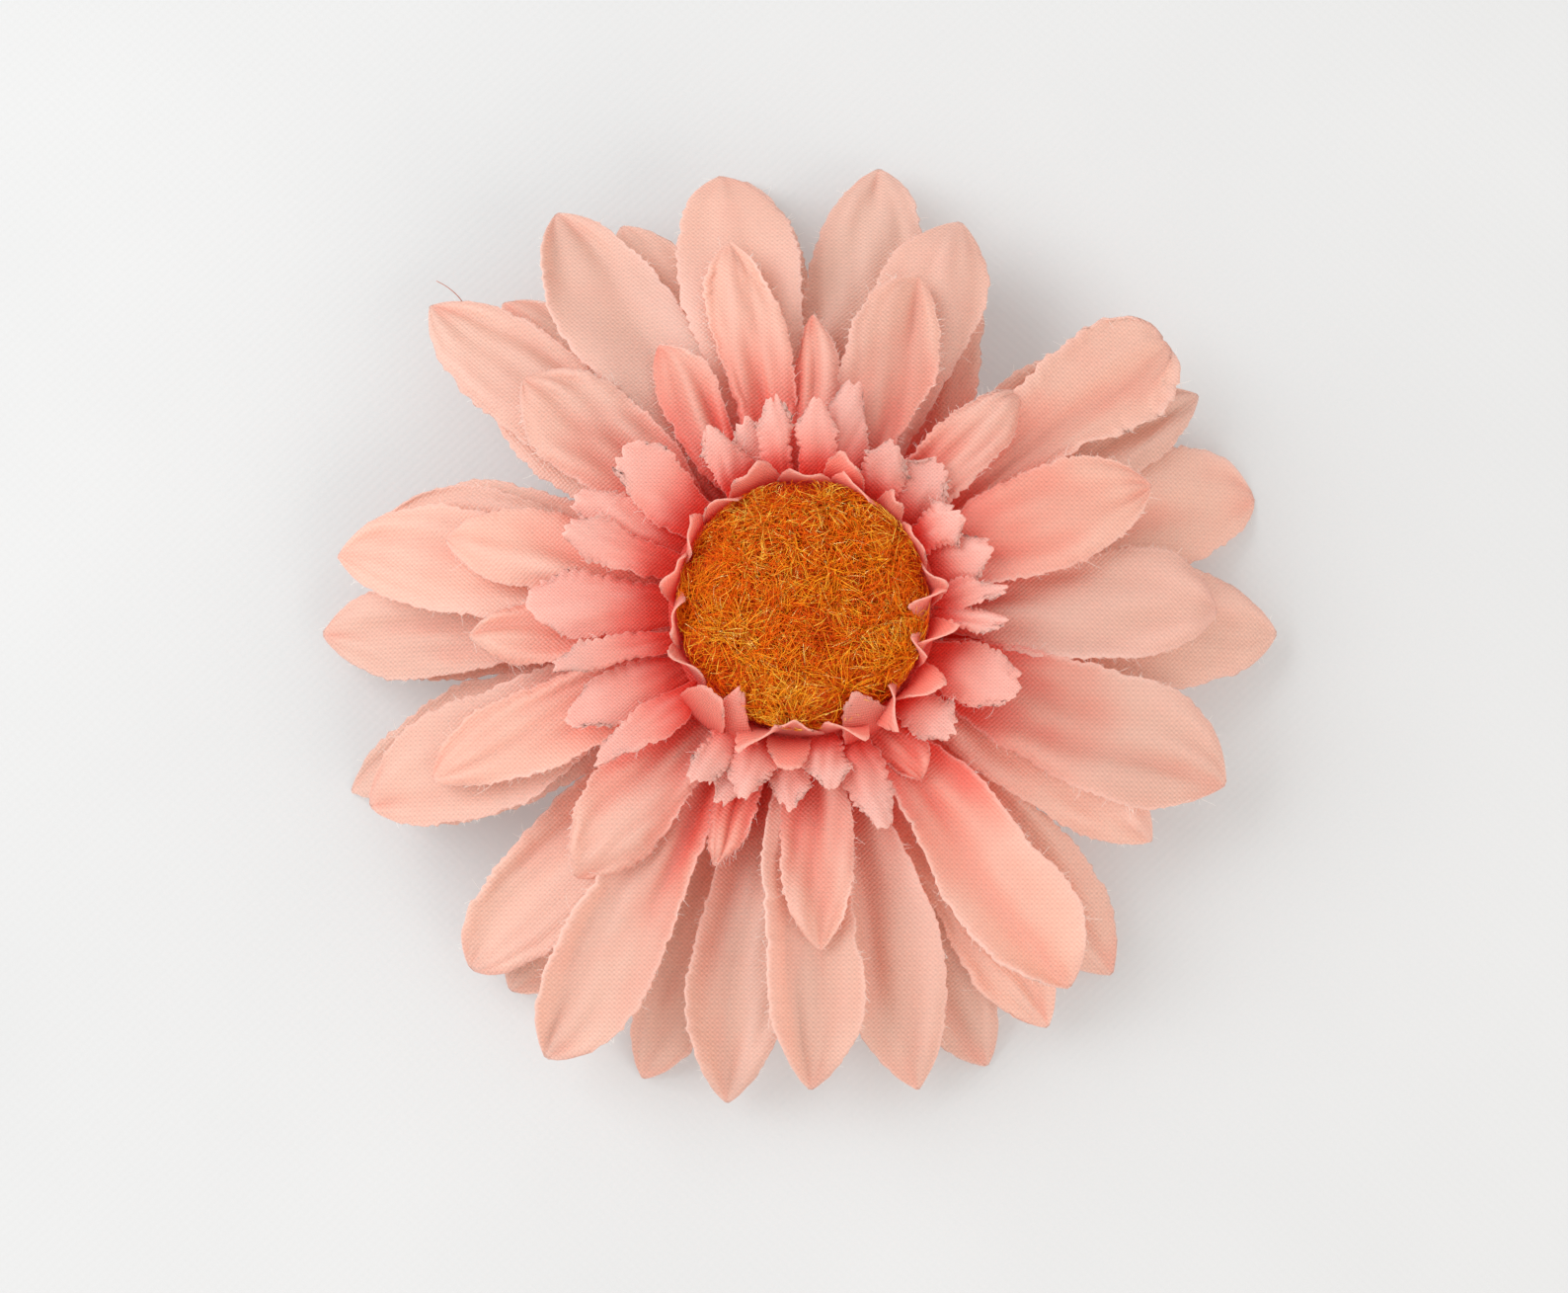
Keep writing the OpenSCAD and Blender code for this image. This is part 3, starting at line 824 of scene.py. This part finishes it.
    def loose_threads(self, grids: list[np.ndarray], rng: np.random.Generator) -> bpy.types.Object:
        """Adds the short threads that stand out of the cut edges, mostly leaning towards the tip.

        Each is a straight line of random length, bowed by the square of the share along it.

        Args:
            grids: The tongues' grids.
            rng: Source of random numbers.

        Returns:
            The threads as one object.
        """
        lines = []
        for grid in grids:
            row = rng.integers(self.rows // 3, self.rows - 1, self.threads)
            side = rng.choice([0, self.cols - 1], self.threads)
            inner = np.where(side == 0, 2, self.cols - 3)
            foot = grid[row, side]
            out = unit(foot - grid[row, inner])
            along = unit(grid[row, side] - grid[row - 1, side])
            lean = rng.uniform(-0.4, 1.5, (self.threads, 1))
            way = unit(out + along * lean + rng.normal(0, 0.25, out.shape))
            length = rng.gamma(2.0, 0.16, (self.threads, 1)) * MM + 0.0002
            curl = rng.normal(0, 0.3, out.shape) * length
            share = np.linspace(0, 1, 4)[None, :, None]
            line = foot[:, None] - out[:, None] * 0.0002 + way[:, None] * length[:, None] * share
            lines.append(line + curl[:, None] * share**2)
        line = np.concatenate(lines)
        line[..., 2] = np.maximum(line[..., 2], self.floor_mm * MM)
        radii = np.linspace(0.022, 0.01, 4)[None] * MM * np.ones((len(line), 1))
        material = ThreadFinish(self.name + "_thread", self.finish.edge).build()
        return hair_piece(self.name + "_threads", line, radii, material)


@dataclass(frozen=True)
class Lobe:
    """One lobe of the collar.

    direction and the outward lean are in degrees. In millimetres, skew is how far its left end stands outside
    its right end, out_mm how far its foot stands outside the collar's, and apex_mm how far its top leans to
    the left. point is how pointed it is, from 0 to 1.
    """

    direction: float
    half_mm: float = 2.6
    lean: float = 4.0
    skew: float = 0.3
    height_mm: float = 4.4
    point: float = 0.2
    out_mm: float = 0.0
    apex_mm: float = 0.0


@dataclass
class Collar:
    """Upright lobes of cloth round the pile, cut from one small ring of cloth and folded up."""

    finish: ClothFinish
    lobes: tuple[Lobe, ...]
    foot_mm: float = 12.95
    rows: int = 18
    cols: int = 19
    seed: int = 61

    def lobe(self, lobe: Lobe, rng: np.random.Generator) -> Patch:
        """Shapes one lobe over v, from 0 at the foot to 1 at the top, and t, from 1 to -1 across.

        It stands on the collar's circle, rounded or pointed towards its top, and leans out more as it rises.
        A skew, a cup t^2 and a sine wave, each growing with v, make it wavy.

        Args:
            lobe: The lobe.
            rng: Source of random numbers.

        Returns:
            The patch of cloth.
        """
        v = np.linspace(0, 1, self.rows)[:, None]
        t = np.sin(np.pi / 2 * np.linspace(1, -1, self.cols))[None]
        rounding = (1 - lobe.point) * (1 - 0.35 * v**4) + lobe.point * (1 - 0.95 * v)
        ragged = 0.2 * wander(rng, self.rows, 1)[:, None] * np.abs(t) ** 4 * v
        across = (lobe.half_mm * rounding + ragged) * t + lobe.apex_mm * v
        top = 1 - 0.16 * t**4 + (0.04 * wander(rng, self.cols, 3) + 0.035 * wander(rng, self.cols, 1))[None]
        tall = lobe.height_mm * v * top
        lean = np.radians(lobe.lean) * (0.6 + 0.8 * v)
        cup = rng.uniform(-0.1, 0.45) * (t**2 - 0.4)
        wave = 0.25 * np.sin(rng.uniform(2, 4) * t + rng.uniform(0, 6))
        r = self.foot_mm + lobe.out_mm + tall * np.sin(lean) + (lobe.skew * t + cup + wave) * v
        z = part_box("collar")[0].z / MM + 0.1 + tall * np.cos(lean)
        a = math.radians(lobe.direction) + across / self.foot_mm
        grid = np.concatenate([around(r, a), z[..., None]], -1) * MM
        cut = around((self.foot_mm + tall) * MM, a)
        one = np.ones_like(z)
        dye_and_shade = np.clip((0.95 - 0.8 * v) * one, 0, 1)
        rim = np.clip(0.9 * smooth(0.86, 1, v) + 0.5 * smooth(0.9, 1, np.abs(t)), 0, 1) * one
        return grid, cut, {"dye_and_shade": dye_and_shade, "rim": rim, "shade": rng.uniform(-1, 1) * one}

    def build(self) -> bpy.types.Object:
        """Builds the collar from its lobes.

        Returns:
            The collar's object.
        """
        rng = np.random.default_rng(self.seed)
        parts = [self.lobe(lobe, rng) for lobe in self.lobes]
        piece = cloth_piece("collar_cloth", parts, self.finish)
        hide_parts("collar")
        return piece


# ---------------------------------------------------------------- pile


@dataclass(frozen=True)
class FibreKind:
    """One kind of fibre in the pile."""

    name: str
    slot: str
    finish: FibreFinish
    tufts: int
    per_tuft: int
    spread_mm: float
    radius_mm: float
    over_mm: float
    seed: int


@dataclass
class Pile:
    """The disc of cut fibres, in tufts that splay out of a domed bed."""

    kinds: tuple[FibreKind, ...]
    radius_mm: float = 12.9

    def dome_z(self, r: np.ndarray) -> np.ndarray:
        """Gives the height of the pile's surface at a distance r, falling as r^2.5 towards the collar."""
        low, high = (p.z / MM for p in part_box("pile_rust"))
        return high - (high - low) * 0.62 * np.clip(r / self.radius_mm, 0, 1.1) ** 2.5

    def bed(self) -> bpy.types.Object:
        """Builds the rust-red bed under the fibres as a closed dome.

        Returns:
            The bed's object.
        """
        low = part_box("pile_rust")[0].z / MM
        r = np.linspace(11.9, 0, 24)
        outline = np.concatenate([[0, 11.9], r]), np.concatenate([[low + 0.02] * 2, self.dome_z(r) - 2.0])
        points, faces = spun(*outline, 64)
        material = SoftFinish("pile_bed", (0.85, 0.14, 0.006), 900.0, 0.2, 0.9).build()
        return make_piece("pile_bed", (points * MM, faces), material)

    def fibres(self, kind: FibreKind) -> bpy.types.Object:
        """Builds one kind of fibre.

        The tufts stand on a sunflower spiral, at radii that grow as the square root of their number. Each
        fibre starts in the bed near its tuft's middle and splays outwards to a random side, rises as
        share^0.55 towards the dome, crimps a little on its way, and is squeezed back from the collar.

        Args:
            kind: The fibres' sizes and finish.

        Returns:
            The fibres as one object.
        """
        rng, shared = np.random.default_rng(kind.seed), np.random.default_rng(kind.tufts)
        n = np.arange(kind.tufts) + 0.5
        tuft_r = self.radius_mm * 0.95 * np.sqrt(n / kind.tufts) + shared.normal(0, 0.45, kind.tufts)
        tuft_a = n * GOLDEN_ANGLE + shared.normal(0, 0.2, kind.tufts)
        count = kind.tufts * kind.per_tuft
        centre = np.repeat(around(tuft_r, tuft_a), kind.per_tuft, 0)
        height = np.repeat(shared.uniform(-1.0, 0.6, kind.tufts), kind.per_tuft)
        angle = rng.uniform(0, 2 * np.pi, count)
        spread = kind.spread_mm * np.sqrt(rng.uniform(0, 1, count))
        way = around(1.0, angle)
        root = centre + rng.normal(0, 0.6, (count, 2))
        share = np.linspace(0, 1, 5)
        plane = root[:, None] + way[:, None] * (spread[:, None] * share**1.1)[..., None]
        plane = plane + np.cumsum(rng.normal(0, 0.12, (count, 5, 2)), axis=1) * share[None, :, None]
        top_r = np.minimum(np.hypot(plane[:, -1, 0], plane[:, -1, 1]), self.radius_mm)
        top = self.dome_z(top_r) + height + kind.over_mm - 0.5 * (spread / kind.spread_mm) ** 2
        top = top + rng.normal(0, 0.3, count)
        start = self.dome_z(np.hypot(root[:, 0], root[:, 1])) - 2.4
        z = start[:, None] + (top - start)[:, None] * share[None] ** 0.55
        line = np.concatenate([plane, z[..., None]], -1)
        r = np.hypot(line[..., 0], line[..., 1])
        kept = self.radius_mm - 1.0 + 0.9 * (1 - np.exp(-np.maximum(r - self.radius_mm + 1.0, 0)))
        line[..., :2] *= (np.minimum(r, kept) / np.maximum(r, 1e-6))[..., None]
        taper = np.array([1, 1, 0.95, 0.8, 0.45])[None] * kind.radius_mm
        radii = taper * rng.uniform(0.7, 1.25, (count, 1)) * MM
        tuft_tone = np.repeat(rng.uniform(-0.38, 0.38, kind.tufts), kind.per_tuft)
        tone = np.clip(rng.uniform(0.15, 0.85, count) + tuft_tone, 0, 1)
        return hair_piece(kind.name, line * MM, radii, kind.finish.build(), tone)

    def build(self) -> list[bpy.types.Object]:
        """Builds the bed and every kind of fibre, in place of the CAD pile.

        Returns:
            The pieces.
        """
        bed = self.bed()
        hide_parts("pile_rust")
        made = [self.fibres(kind) for kind in self.kinds]
        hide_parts("pile_gold")
        return [bed, *made]


# ---------------------------------------------------------------- felt, clip and stack


@dataclass
class FeltDisc:
    """The disc of felt between the flower and the clip, with fuzz on its underside and rim."""

    finish: SoftFinish
    fuzz: ThreadFinish
    radius_mm: float = 13.95
    fibres: int = 3000
    hair_mm: float = 0.016
    seed: int = 71

    def build(self) -> bpy.types.Object:
        """Builds the disc with a rounded rim and its fuzz, in place of the CAD disc.

        Returns:
            The disc's object.
        """
        low, high = (p.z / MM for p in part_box("felt_disc"))
        middle, half = (low + high) / 2, (high - low) / 2 - 0.03
        lean = np.radians(np.linspace(-90, 90, 11))
        inside = np.linspace(0, self.radius_mm - half, 20)[:-1]
        r = np.concatenate([inside, self.radius_mm - half + half * np.cos(lean), inside[::-1]])
        faces_z = [np.full(len(inside), middle + step) for step in (-half, half)]
        z = np.concatenate([faces_z[0], middle + half * np.sin(lean), faces_z[1]])
        points, faces = spun(r, z, 120)
        angle = np.arctan2(points[:, 1], points[:, 0])
        points[:, :2] *= (1 + 0.004 * np.sin(7 * angle) + 0.003 * np.sin(31 * angle + 2))[:, None]
        piece = make_piece("felt_cloth", (points * MM, faces), self.finish.build())
        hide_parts("felt_disc")
        fuzz = self.hairs(middle, half)
        return piece

    def hairs(self, middle: float, half: float) -> bpy.types.Object:
        """Builds the fuzz: short bowed hairs that lie over the underside and stand out of the rim.

        Args:
            middle: Height of the disc's middle, in millimetres.
            half: Half of its thickness, in millimetres.

        Returns:
            The hairs as one object.
        """
        rng = np.random.default_rng(self.seed)
        angle = rng.uniform(0, 2 * np.pi, self.fibres)
        on_rim = rng.uniform(0, 1, self.fibres) < 0.45
        r = np.where(on_rim, self.radius_mm - 0.05, self.radius_mm * np.sqrt(rng.uniform(0, 1, self.fibres)))
        foot = np.concatenate([around(r, angle), np.full((self.fibres, 1), middle - half)], -1)
        foot[:, 2] += np.where(on_rim, rng.uniform(0.1, 1.9, self.fibres) * half, 0)
        way = rng.normal(0, 1, foot.shape)
        way[:, :2] += on_rim[:, None] * around(1.0, angle) * 2
        way[:, 2] = np.where(on_rim, 0.4 * way[:, 2], -0.3)
        way = unit(way)
        share = np.linspace(0, 1, 4)[None, :, None]
        length = rng.uniform(0.25, 0.8, (self.fibres, 1, 1))
        curl = rng.normal(0, 0.25, (self.fibres, 1, 3)) * [1, 1, 0.3]
        line = foot[:, None] + (way[:, None] * share + curl * share**2) * length
        line[..., 2] = np.minimum(line[..., 2], middle + half)
        radii = np.full((self.fibres, 4), self.hair_mm * MM)
        return hair_piece("felt_fuzz", line * MM, radii, self.fuzz.build())


@dataclass
class ClipAndStack:
    """The CAD nodes that are shown as they are (metal clip, washers, button, cap, glue), by material slot."""

    finishes: dict[str, MetalFinish | SoftFinish]

    def build(self) -> None:
        """Gives each CAD node the finish of its slot, if it has one."""
        finishes = {slot: finish.build() for slot, finish in self.finishes.items()}
        slots = {row["node"]: row["material_slot"] for row in frame["record"]["subparts"]}
        for node, piece in frame["nodes"].items():
            finish = finishes.get(slots[node])
            if finish is None:
                continue
            piece.data.materials.clear()
            piece.data.materials.append(finish)
            LOG.info("%s: CAD node in %s", node, finish.name)


# ---------------------------------------------------------------- studio


@dataclass
class Studio:
    """Camera, pale floor and soft light."""

    elevation: float = 83.0
    lens_mm: float = 77.0
    view_width_mm: float = 157.0
    shift_right_mm: float = -1.9
    shift_up_mm: float = -4.4
    aim_mm: float = 25.0
    lamp_width: float = 0.6

    def camera(self) -> None:
        """Adds the camera, which looks along +Y and down at the flower's centre."""
        data = bpy.data.cameras.new("camera")
        data.lens, data.sensor_width = self.lens_mm, 36.0
        data.clip_start, data.clip_end = 0.01, 10
        camera = bpy.data.objects.new("camera", data)
        e = math.radians(self.elevation)
        back = Vector((0, -math.cos(e), math.sin(e)))
        up = Vector((0, math.sin(e), math.cos(e)))
        aim = Vector((self.shift_right_mm, 0, self.aim_mm)) * MM + up * self.shift_up_mm * MM
        camera.location = aim + back * self.view_width_mm * MM * self.lens_mm / 36.0
        camera.rotation_mode = "QUATERNION"
        camera.rotation_quaternion = (-back).to_track_quat("-Z", "Y")
        bpy.context.scene.collection.objects.link(camera)
        bpy.context.scene.camera = camera

    def floor(self) -> None:
        """Adds the pale floor, cotton with a faint weave, which glows a little so that shadows stay light."""
        mesh = bpy.data.meshes.new("floor")
        side = 1.2
        corners = [(-side, -side, 0), (side, -side, 0), (side, side, 0), (-side, side, 0)]
        mesh.from_pydata(corners, [], [(0, 1, 2, 3)])
        floor = bpy.data.objects.new("floor", mesh)
        bpy.context.scene.collection.objects.link(floor)
        g = Graph("floor")
        place = g.add("TexCoord").outputs["Object"]
        axes = g.add("SeparateXYZ", {0: place})
        warp = g.math("SINE", g.math("MULTIPLY", axes.outputs[0], 2 * math.pi / 0.0012))
        weft = g.math("SINE", g.math("MULTIPLY", axes.outputs[1], 2 * math.pi / 0.0011))
        weave = g.math("MULTIPLY", warp, weft)
        cloud = g.noise(place, 14.0, 3.0)
        colour = g.ramp(cloud, [(0.3, (0.4, 0.41, 0.42)), (0.7, (0.43, 0.44, 0.45))])
        fuzz = g.math("MULTIPLY", g.noise(place, 900.0, 2.0), 0.8)
        height = g.math("ADD", g.math("MULTIPLY", weave, 0.4), fuzz)
        bump = g.add("Bump", {"Strength": 0.3, "Distance": 0.00008, "Height": height}).outputs[0]
        glow = {"Emission Color": (1.0, 0.985, 0.965, 1), "Emission Strength": 0.22}
        shader = g.add("BsdfPrincipled", {"Base Color": colour, "Roughness": 0.85, "Normal": bump, **glow})
        mesh.materials.append(g.finish(shader.outputs[0]))

    def light(self, name: str, place: tuple, power: float, colour: Colour) -> None:
        """Adds a soft lamp that faces the flower.

        Args:
            name: Name of the lamp.
            place: Where it hangs, in metres.
            power: Power in watts.
            colour: Colour of its light.
        """
        data = bpy.data.lights.new(name, "AREA")
        data.shape, data.size, data.energy, data.color = "SQUARE", self.lamp_width, power, colour
        lamp = bpy.data.objects.new(name, data)
        lamp.location = place
        lamp.rotation_mode = "QUATERNION"
        lamp.rotation_quaternion = (Vector((0, 0, 0.01)) - Vector(place)).to_track_quat("-Z", "Y")
        bpy.context.scene.collection.objects.link(lamp)

    def build(self) -> None:
        """Adds the floor, the sky and the lamps."""
        self.floor()
        world = bpy.data.worlds.new("studio")
        world.use_nodes = True
        sky = world.node_tree.nodes["Background"]
        sky.inputs[0].default_value = (1.0, 0.97, 0.935, 1)
        sky.inputs[1].default_value = 0.86
        bpy.context.scene.world = world
        bpy.context.scene.view_settings.view_transform = "Standard"
        self.light("window", (-0.52, 0.18, 0.5), 4.6, (0.97, 0.99, 1.0))
        self.light("fill", (0.5, -0.5, 0.5), 2.9, (1.0, 0.93, 0.86))


# ---------------------------------------------------------------- the flower's own choices

PETAL_CLOTH = ClothFinish("petal_cloth", (0.94, 0.68, 0.58), (0.95, 0.52, 0.42), (0.96, 0.11, 0.075))
SHORT_CLOTH = ClothFinish("short_cloth", (0.94, 0.65, 0.54), (0.95, 0.48, 0.38), (0.96, 0.11, 0.075))
FRILL_CLOTH = ClothFinish(
    "frill_cloth", (0.98, 0.67, 0.6), (0.97, 0.48, 0.4), (0.95, 0.09, 0.06), weave_mm=0.44,
)
COLLAR_CLOTH = ClothFinish(
    "collar_cloth", (0.97, 0.52, 0.43), (0.96, 0.38, 0.3), (0.92, 0.07, 0.045), (0.99, 0.66, 0.57),
    weave_mm=0.44,
)

LOWER = (
    Tongue(17, 1.02, 8.8, blunt=0.7, torn=0.3), Tongue(41, 0.9, 10), Tongue(68, 0.86, 10),
    Tongue(97, 1.0, 9.5), Tongue(132, 0.965, 9), Tongue(158, 0.88, 8.5, bend=5.0), Tongue(181, 0.95, 9),
    Tongue(199.5, 1.02, 8.5, torn=0.6), Tongue(231, 0.98, 8, blunt=0.5),
    Tongue(250.5, 1.005, 8.6, fold=1.5), Tongue(293, 1, 8.7), Tongue(312, 0.98, 8.7), Tongue(338, 0.9, 9.5),
)
MIDDLE = (
    Tongue(359.5, 1.01, 10), Tongue(30.5, 0.98, 8, hook=1.5), Tongue(56, 0.8, 8, bend=5.0),
    Tongue(80.5, 1.02, 10), Tongue(114, 0.95, 9.5), Tongue(145, 0.88, 8.5, bend=-4.0),
    Tongue(164, 0.93, 8.5, bend=2.5), Tongue(180.5, 1.02, 8.7), Tongue(206, 0.92, 9, torn=0.5),
    Tongue(226, 1.0, 8.4, right=1.2, blunt=0.6, fold=2.0), Tongue(261, 1.01, 8.6, right=1.4, fold=2.2),
    Tongue(284, 1.0, 8.6, fold=1.8), Tongue(301.5, 0.985, 8.2, fold=1.8), Tongue(328, 0.86, 9),
)
UPPER = (
    Tongue(1.5, 0.865, 10.5, blunt=0.45), Tongue(38, 0.98, 8.1, torn=1.0, blunt=1.0, fold=1.8),
    Tongue(68.5, 0.92, 10.5), Tongue(100, 0.98, 10, right=0.8, blunt=0.35, torn=0.3),
    Tongue(120.5, 1.035, 9.5, left=2.0, twist=8, fold=1.4), Tongue(139, 1.05, 8.7, hook=0.8, torn=0.2),
    Tongue(171.5, 0.99, 10), Tongue(203, 0.98, 10.2, torn=0.6, blunt=0.4),
    Tongue(239.5, 1.05, 8.0, right=2.6, twist=-6, blunt=0.4, fold=2.6),
    Tongue(271, 0.97, 8.6, right=2.4, fold=2.2), Tongue(306, 0.94, 9.0, right=2.8, blunt=0.35, fold=2.0),
    Tongue(339, 0.945, 10.8, fold=1.2),
)
SHORT = (
    Tongue(20.5, 0.77, 11), Tongue(45.5, 0.64, 8), Tongue(71, 0.75, 10.5), Tongue(88, 0.62, 6),
    Tongue(101, 0.8, 7.5), Tongue(118, 0.63, 7.5), Tongue(139.5, 0.76, 11), Tongue(168, 0.75, 9),
    Tongue(184, 0.685, 8), Tongue(204, 0.83, 9), Tongue(229.5, 0.71, 10.5), Tongue(251, 0.55, 6),
    Tongue(273, 0.69, 9, blunt=0.0), Tongue(305, 0.42, 9), Tongue(338, 0.42, 9),
)
OUTER_STRAPS = (
    Tongue(17.5, 0.4, 8.5), Tongue(45.5, 0.41, 8.5), Tongue(76.5, 0.47, 7), Tongue(107.5, 0.4, 8.5),
    Tongue(155, 0.51, 8), Tongue(179, 0.55, 10.5), Tongue(206.5, 0.525, 8), Tongue(247, 0.43, 7),
    Tongue(265.5, 0.41, 7), Tongue(290, 0.48, 7.5), Tongue(338, 0.47, 9.5),
)
INNER_STRAPS = (
    Tongue(4.5, 0.41, 4.4), Tongue(30, 0.375, 8), Tongue(59.5, 0.38, 8.5), Tongue(86, 0.415, 6.5),
    Tongue(98, 0.425, 5), Tongue(118, 0.405, 7), Tongue(140, 0.48, 10.5), Tongue(162, 0.5, 7),
    Tongue(194.5, 0.52, 5), Tongue(218, 0.52, 5.5), Tongue(238.5, 0.42, 5.5), Tongue(252.5, 0.41, 6.5),
    Tongue(278.5, 0.375, 7.5), Tongue(318.5, 0.4, 8.5), Tongue(355.5, 0.41, 4.4),
)

COLLAR_LOBES = (
    Lobe(89, 2.9, 2, 0.2), Lobe(72, 2.2, 18, 0.6, out_mm=0.5), Lobe(65, 3.0, 0, 1.1),
    Lobe(48, 1.7, 12, 0.3), Lobe(29, 2.8, 2, 0.2), Lobe(11, 2.4, 6, -1.0, point=0.4),
    Lobe(1, 2.2, -8, 1.9, 4.9, 0.5), Lobe(346, 2.2, 12, 1.7), Lobe(340, 1.9, -8, -1.1, 4.9, 0.4),
    Lobe(325, 2.5, 24, 1.2, out_mm=0.3), Lobe(311, 2.3, 10, -2.1, point=0.3),
    Lobe(298, 2.5, -30, 0.2, 5.6, 0.0, 1.6), Lobe(288, 2.6, 6, 1.5), Lobe(267, 2.9, -6, 0.2),
    Lobe(264, 2.2, 34, 0.3, out_mm=0.4), Lobe(252, 2.3, 16, -2.0),
    Lobe(244, 3.0, -34, -0.4, 6.2, 0.75, 2.4, -2.2), Lobe(227, 2.5, -22, 0.5, 5.4, 0.0, 2.6),
    Lobe(208, 2.9, 4, -1.0), Lobe(186, 3.2, 0, 0.9), Lobe(166, 2.9, 5, 0.9), Lobe(149, 2.8, 4, -1.1),
    Lobe(129, 2.6, 2, 0.6), Lobe(112, 3.0, 16, -0.4),
)

AMBER = (
    (0.0, (0.93, 0.12, 0.002)), (0.4, (0.96, 0.19, 0.003)), (0.75, (0.98, 0.29, 0.005)),
    (1.0, (1.0, 0.46, 0.02)),
)
RUST = ((0.0, (0.6, 0.04, 0.003)), (0.6, (0.85, 0.09, 0.004)), (1.0, (0.95, 0.18, 0.006)))
GOLD = ((0.0, (1.0, 0.3, 0.006)), (0.5, (1.0, 0.46, 0.015)), (1.0, (1.0, 0.74, 0.12)))
GLINT = ((0.0, (0.95, 0.6, 0.1)), (1.0, (1.0, 0.85, 0.35)))
SOOT = ((0.0, (0.02, 0.015, 0.012)), (1.0, (0.08, 0.05, 0.03)))
FELT = (0.8, 0.3, 0.26)


def cloth_sheets() -> list[ClothSheet]:
    """Lists the flower's sheets from the lowest up.

    Returns:
        The sheets, with their heights read from the washers and the collar of the CAD part.
    """
    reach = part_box("petals_middle")[1].x / MM

    def top(node: str) -> float:
        """Gives the height at which a node rests, which is the top of the sheet under it, in millimetres."""
        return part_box(node)[0].z / MM

    frill = {
        "tip": Tip.STRAP, "pillow_mm": 1.1, "crumple_mm": 0.22, "rows": 44, "cols": 23,
        "threads": 18, "widen": 0.95,
    }
    return [
        ClothSheet("petals_lower", "washer_1", "petal_cloth", PETAL_CLOTH, LOWER, 8,
                   Arch(0.1, 0.6), top("washer_1"), reach, 11),
        ClothSheet("petals_middle", "washer_2", "petal_cloth", PETAL_CLOTH, MIDDLE, 8,
                   Arch(0.14, 4.0), top("washer_2"), reach, 12),
        ClothSheet("petals_upper", "washer_3", "petal_cloth", PETAL_CLOTH, UPPER, 8,
                   Arch(0.18, 7.5), top("washer_3"), reach, 13, stray_on=5),
        ClothSheet("petals_short", "washer_4", "petal_cloth", SHORT_CLOTH, SHORT, 8,
                   Arch(0.22, 10.6), top("washer_4"), reach, 14),
        ClothSheet("frill_outer", "washer_5", "frill_cloth", FRILL_CLOTH, OUTER_STRAPS,
                   13.6, Arch(0.28, top("washer_5") + 0.5), top("washer_5"), reach, 15, **frill),
        ClothSheet("frill_inner", "washer_5", "frill_cloth", FRILL_CLOTH, INNER_STRAPS,
                   13.6, Arch(0.38, top("collar") + 2.5), top("collar"), reach, 16, **frill),
    ]


def pile() -> Pile:
    """Lists the pile's fibres.

    Returns:
        The pile: amber and rust tufts, gold glints and a few dark specks.
    """
    # The last colour of each fibre finish is the painted shade at the fibres' roots.
    amber = FibreFinish("amber_fibre", AMBER, (0.85, 0.16, 0.005))
    gold = FibreFinish("gold_fibre", GOLD, (0.95, 0.3, 0.01))
    rust = FibreFinish("rust_fibre", RUST, (0.6, 0.06, 0.005))
    glint = FibreFinish("gold_glint", GLINT, (0.8, 0.4, 0.05), metallic=0.9, roughness=0.22)
    soot = FibreFinish("dark_speck", SOOT, (0.02, 0.01, 0.01))
    return Pile((
        FibreKind("pile_amber_fibres", "gold_fibre", amber, 96, 62, 3.9, 0.036, 0.0, 21),
        FibreKind("pile_gold_fibres", "gold_fibre", gold, 40, 46, 4.0, 0.038, 0.45, 25),
        FibreKind("pile_rust_fibres", "rust_fibre", rust, 131, 32, 3.2, 0.036, -0.15, 22),
        FibreKind("pile_glints", "gold_fibre", glint, 40, 9, 4.0, 0.042, 0.5, 23),
        FibreKind("pile_specks", "rust_fibre", soot, 9, 2, 1.4, 0.045, 0.25, 24),
    ))


def main() -> None:
    """Builds the studio, the flower and the clip."""
    logging.basicConfig(level=logging.INFO, format="%(message)s")
    studio = Studio()
    studio.camera()
    for sheet in cloth_sheets():
        sheet.build()
    Collar(COLLAR_CLOTH, COLLAR_LOBES).build()
    pile().build()
    felt = SoftFinish("felt", FELT, 1800.0, 0.25, 0.95, sheen=0.4)
    FeltDisc(felt, ThreadFinish("felt_hair", FELT)).build()
    ClipAndStack({
        "nickel_steel": MetalFinish("nickel_plate", (0.74, 0.72, 0.69), 0.3),
        "pin_steel": MetalFinish("rivet_steel", (0.6, 0.6, 0.6), 0.36),
        "spring_wire": MetalFinish("spring_wire", (0.52, 0.52, 0.51), 0.34),
        "moulded_plastic": SoftFinish("moulded_plastic", (0.86, 0.62, 0.55), 500.0, 0.02, 0.45),
        "hot_glue": SoftFinish("hot_glue", (0.86, 0.82, 0.7), 300.0, 0.05, 0.2, glow=0.4),
    }).build()
    studio.build()


if __name__ == "__main__":
    main()
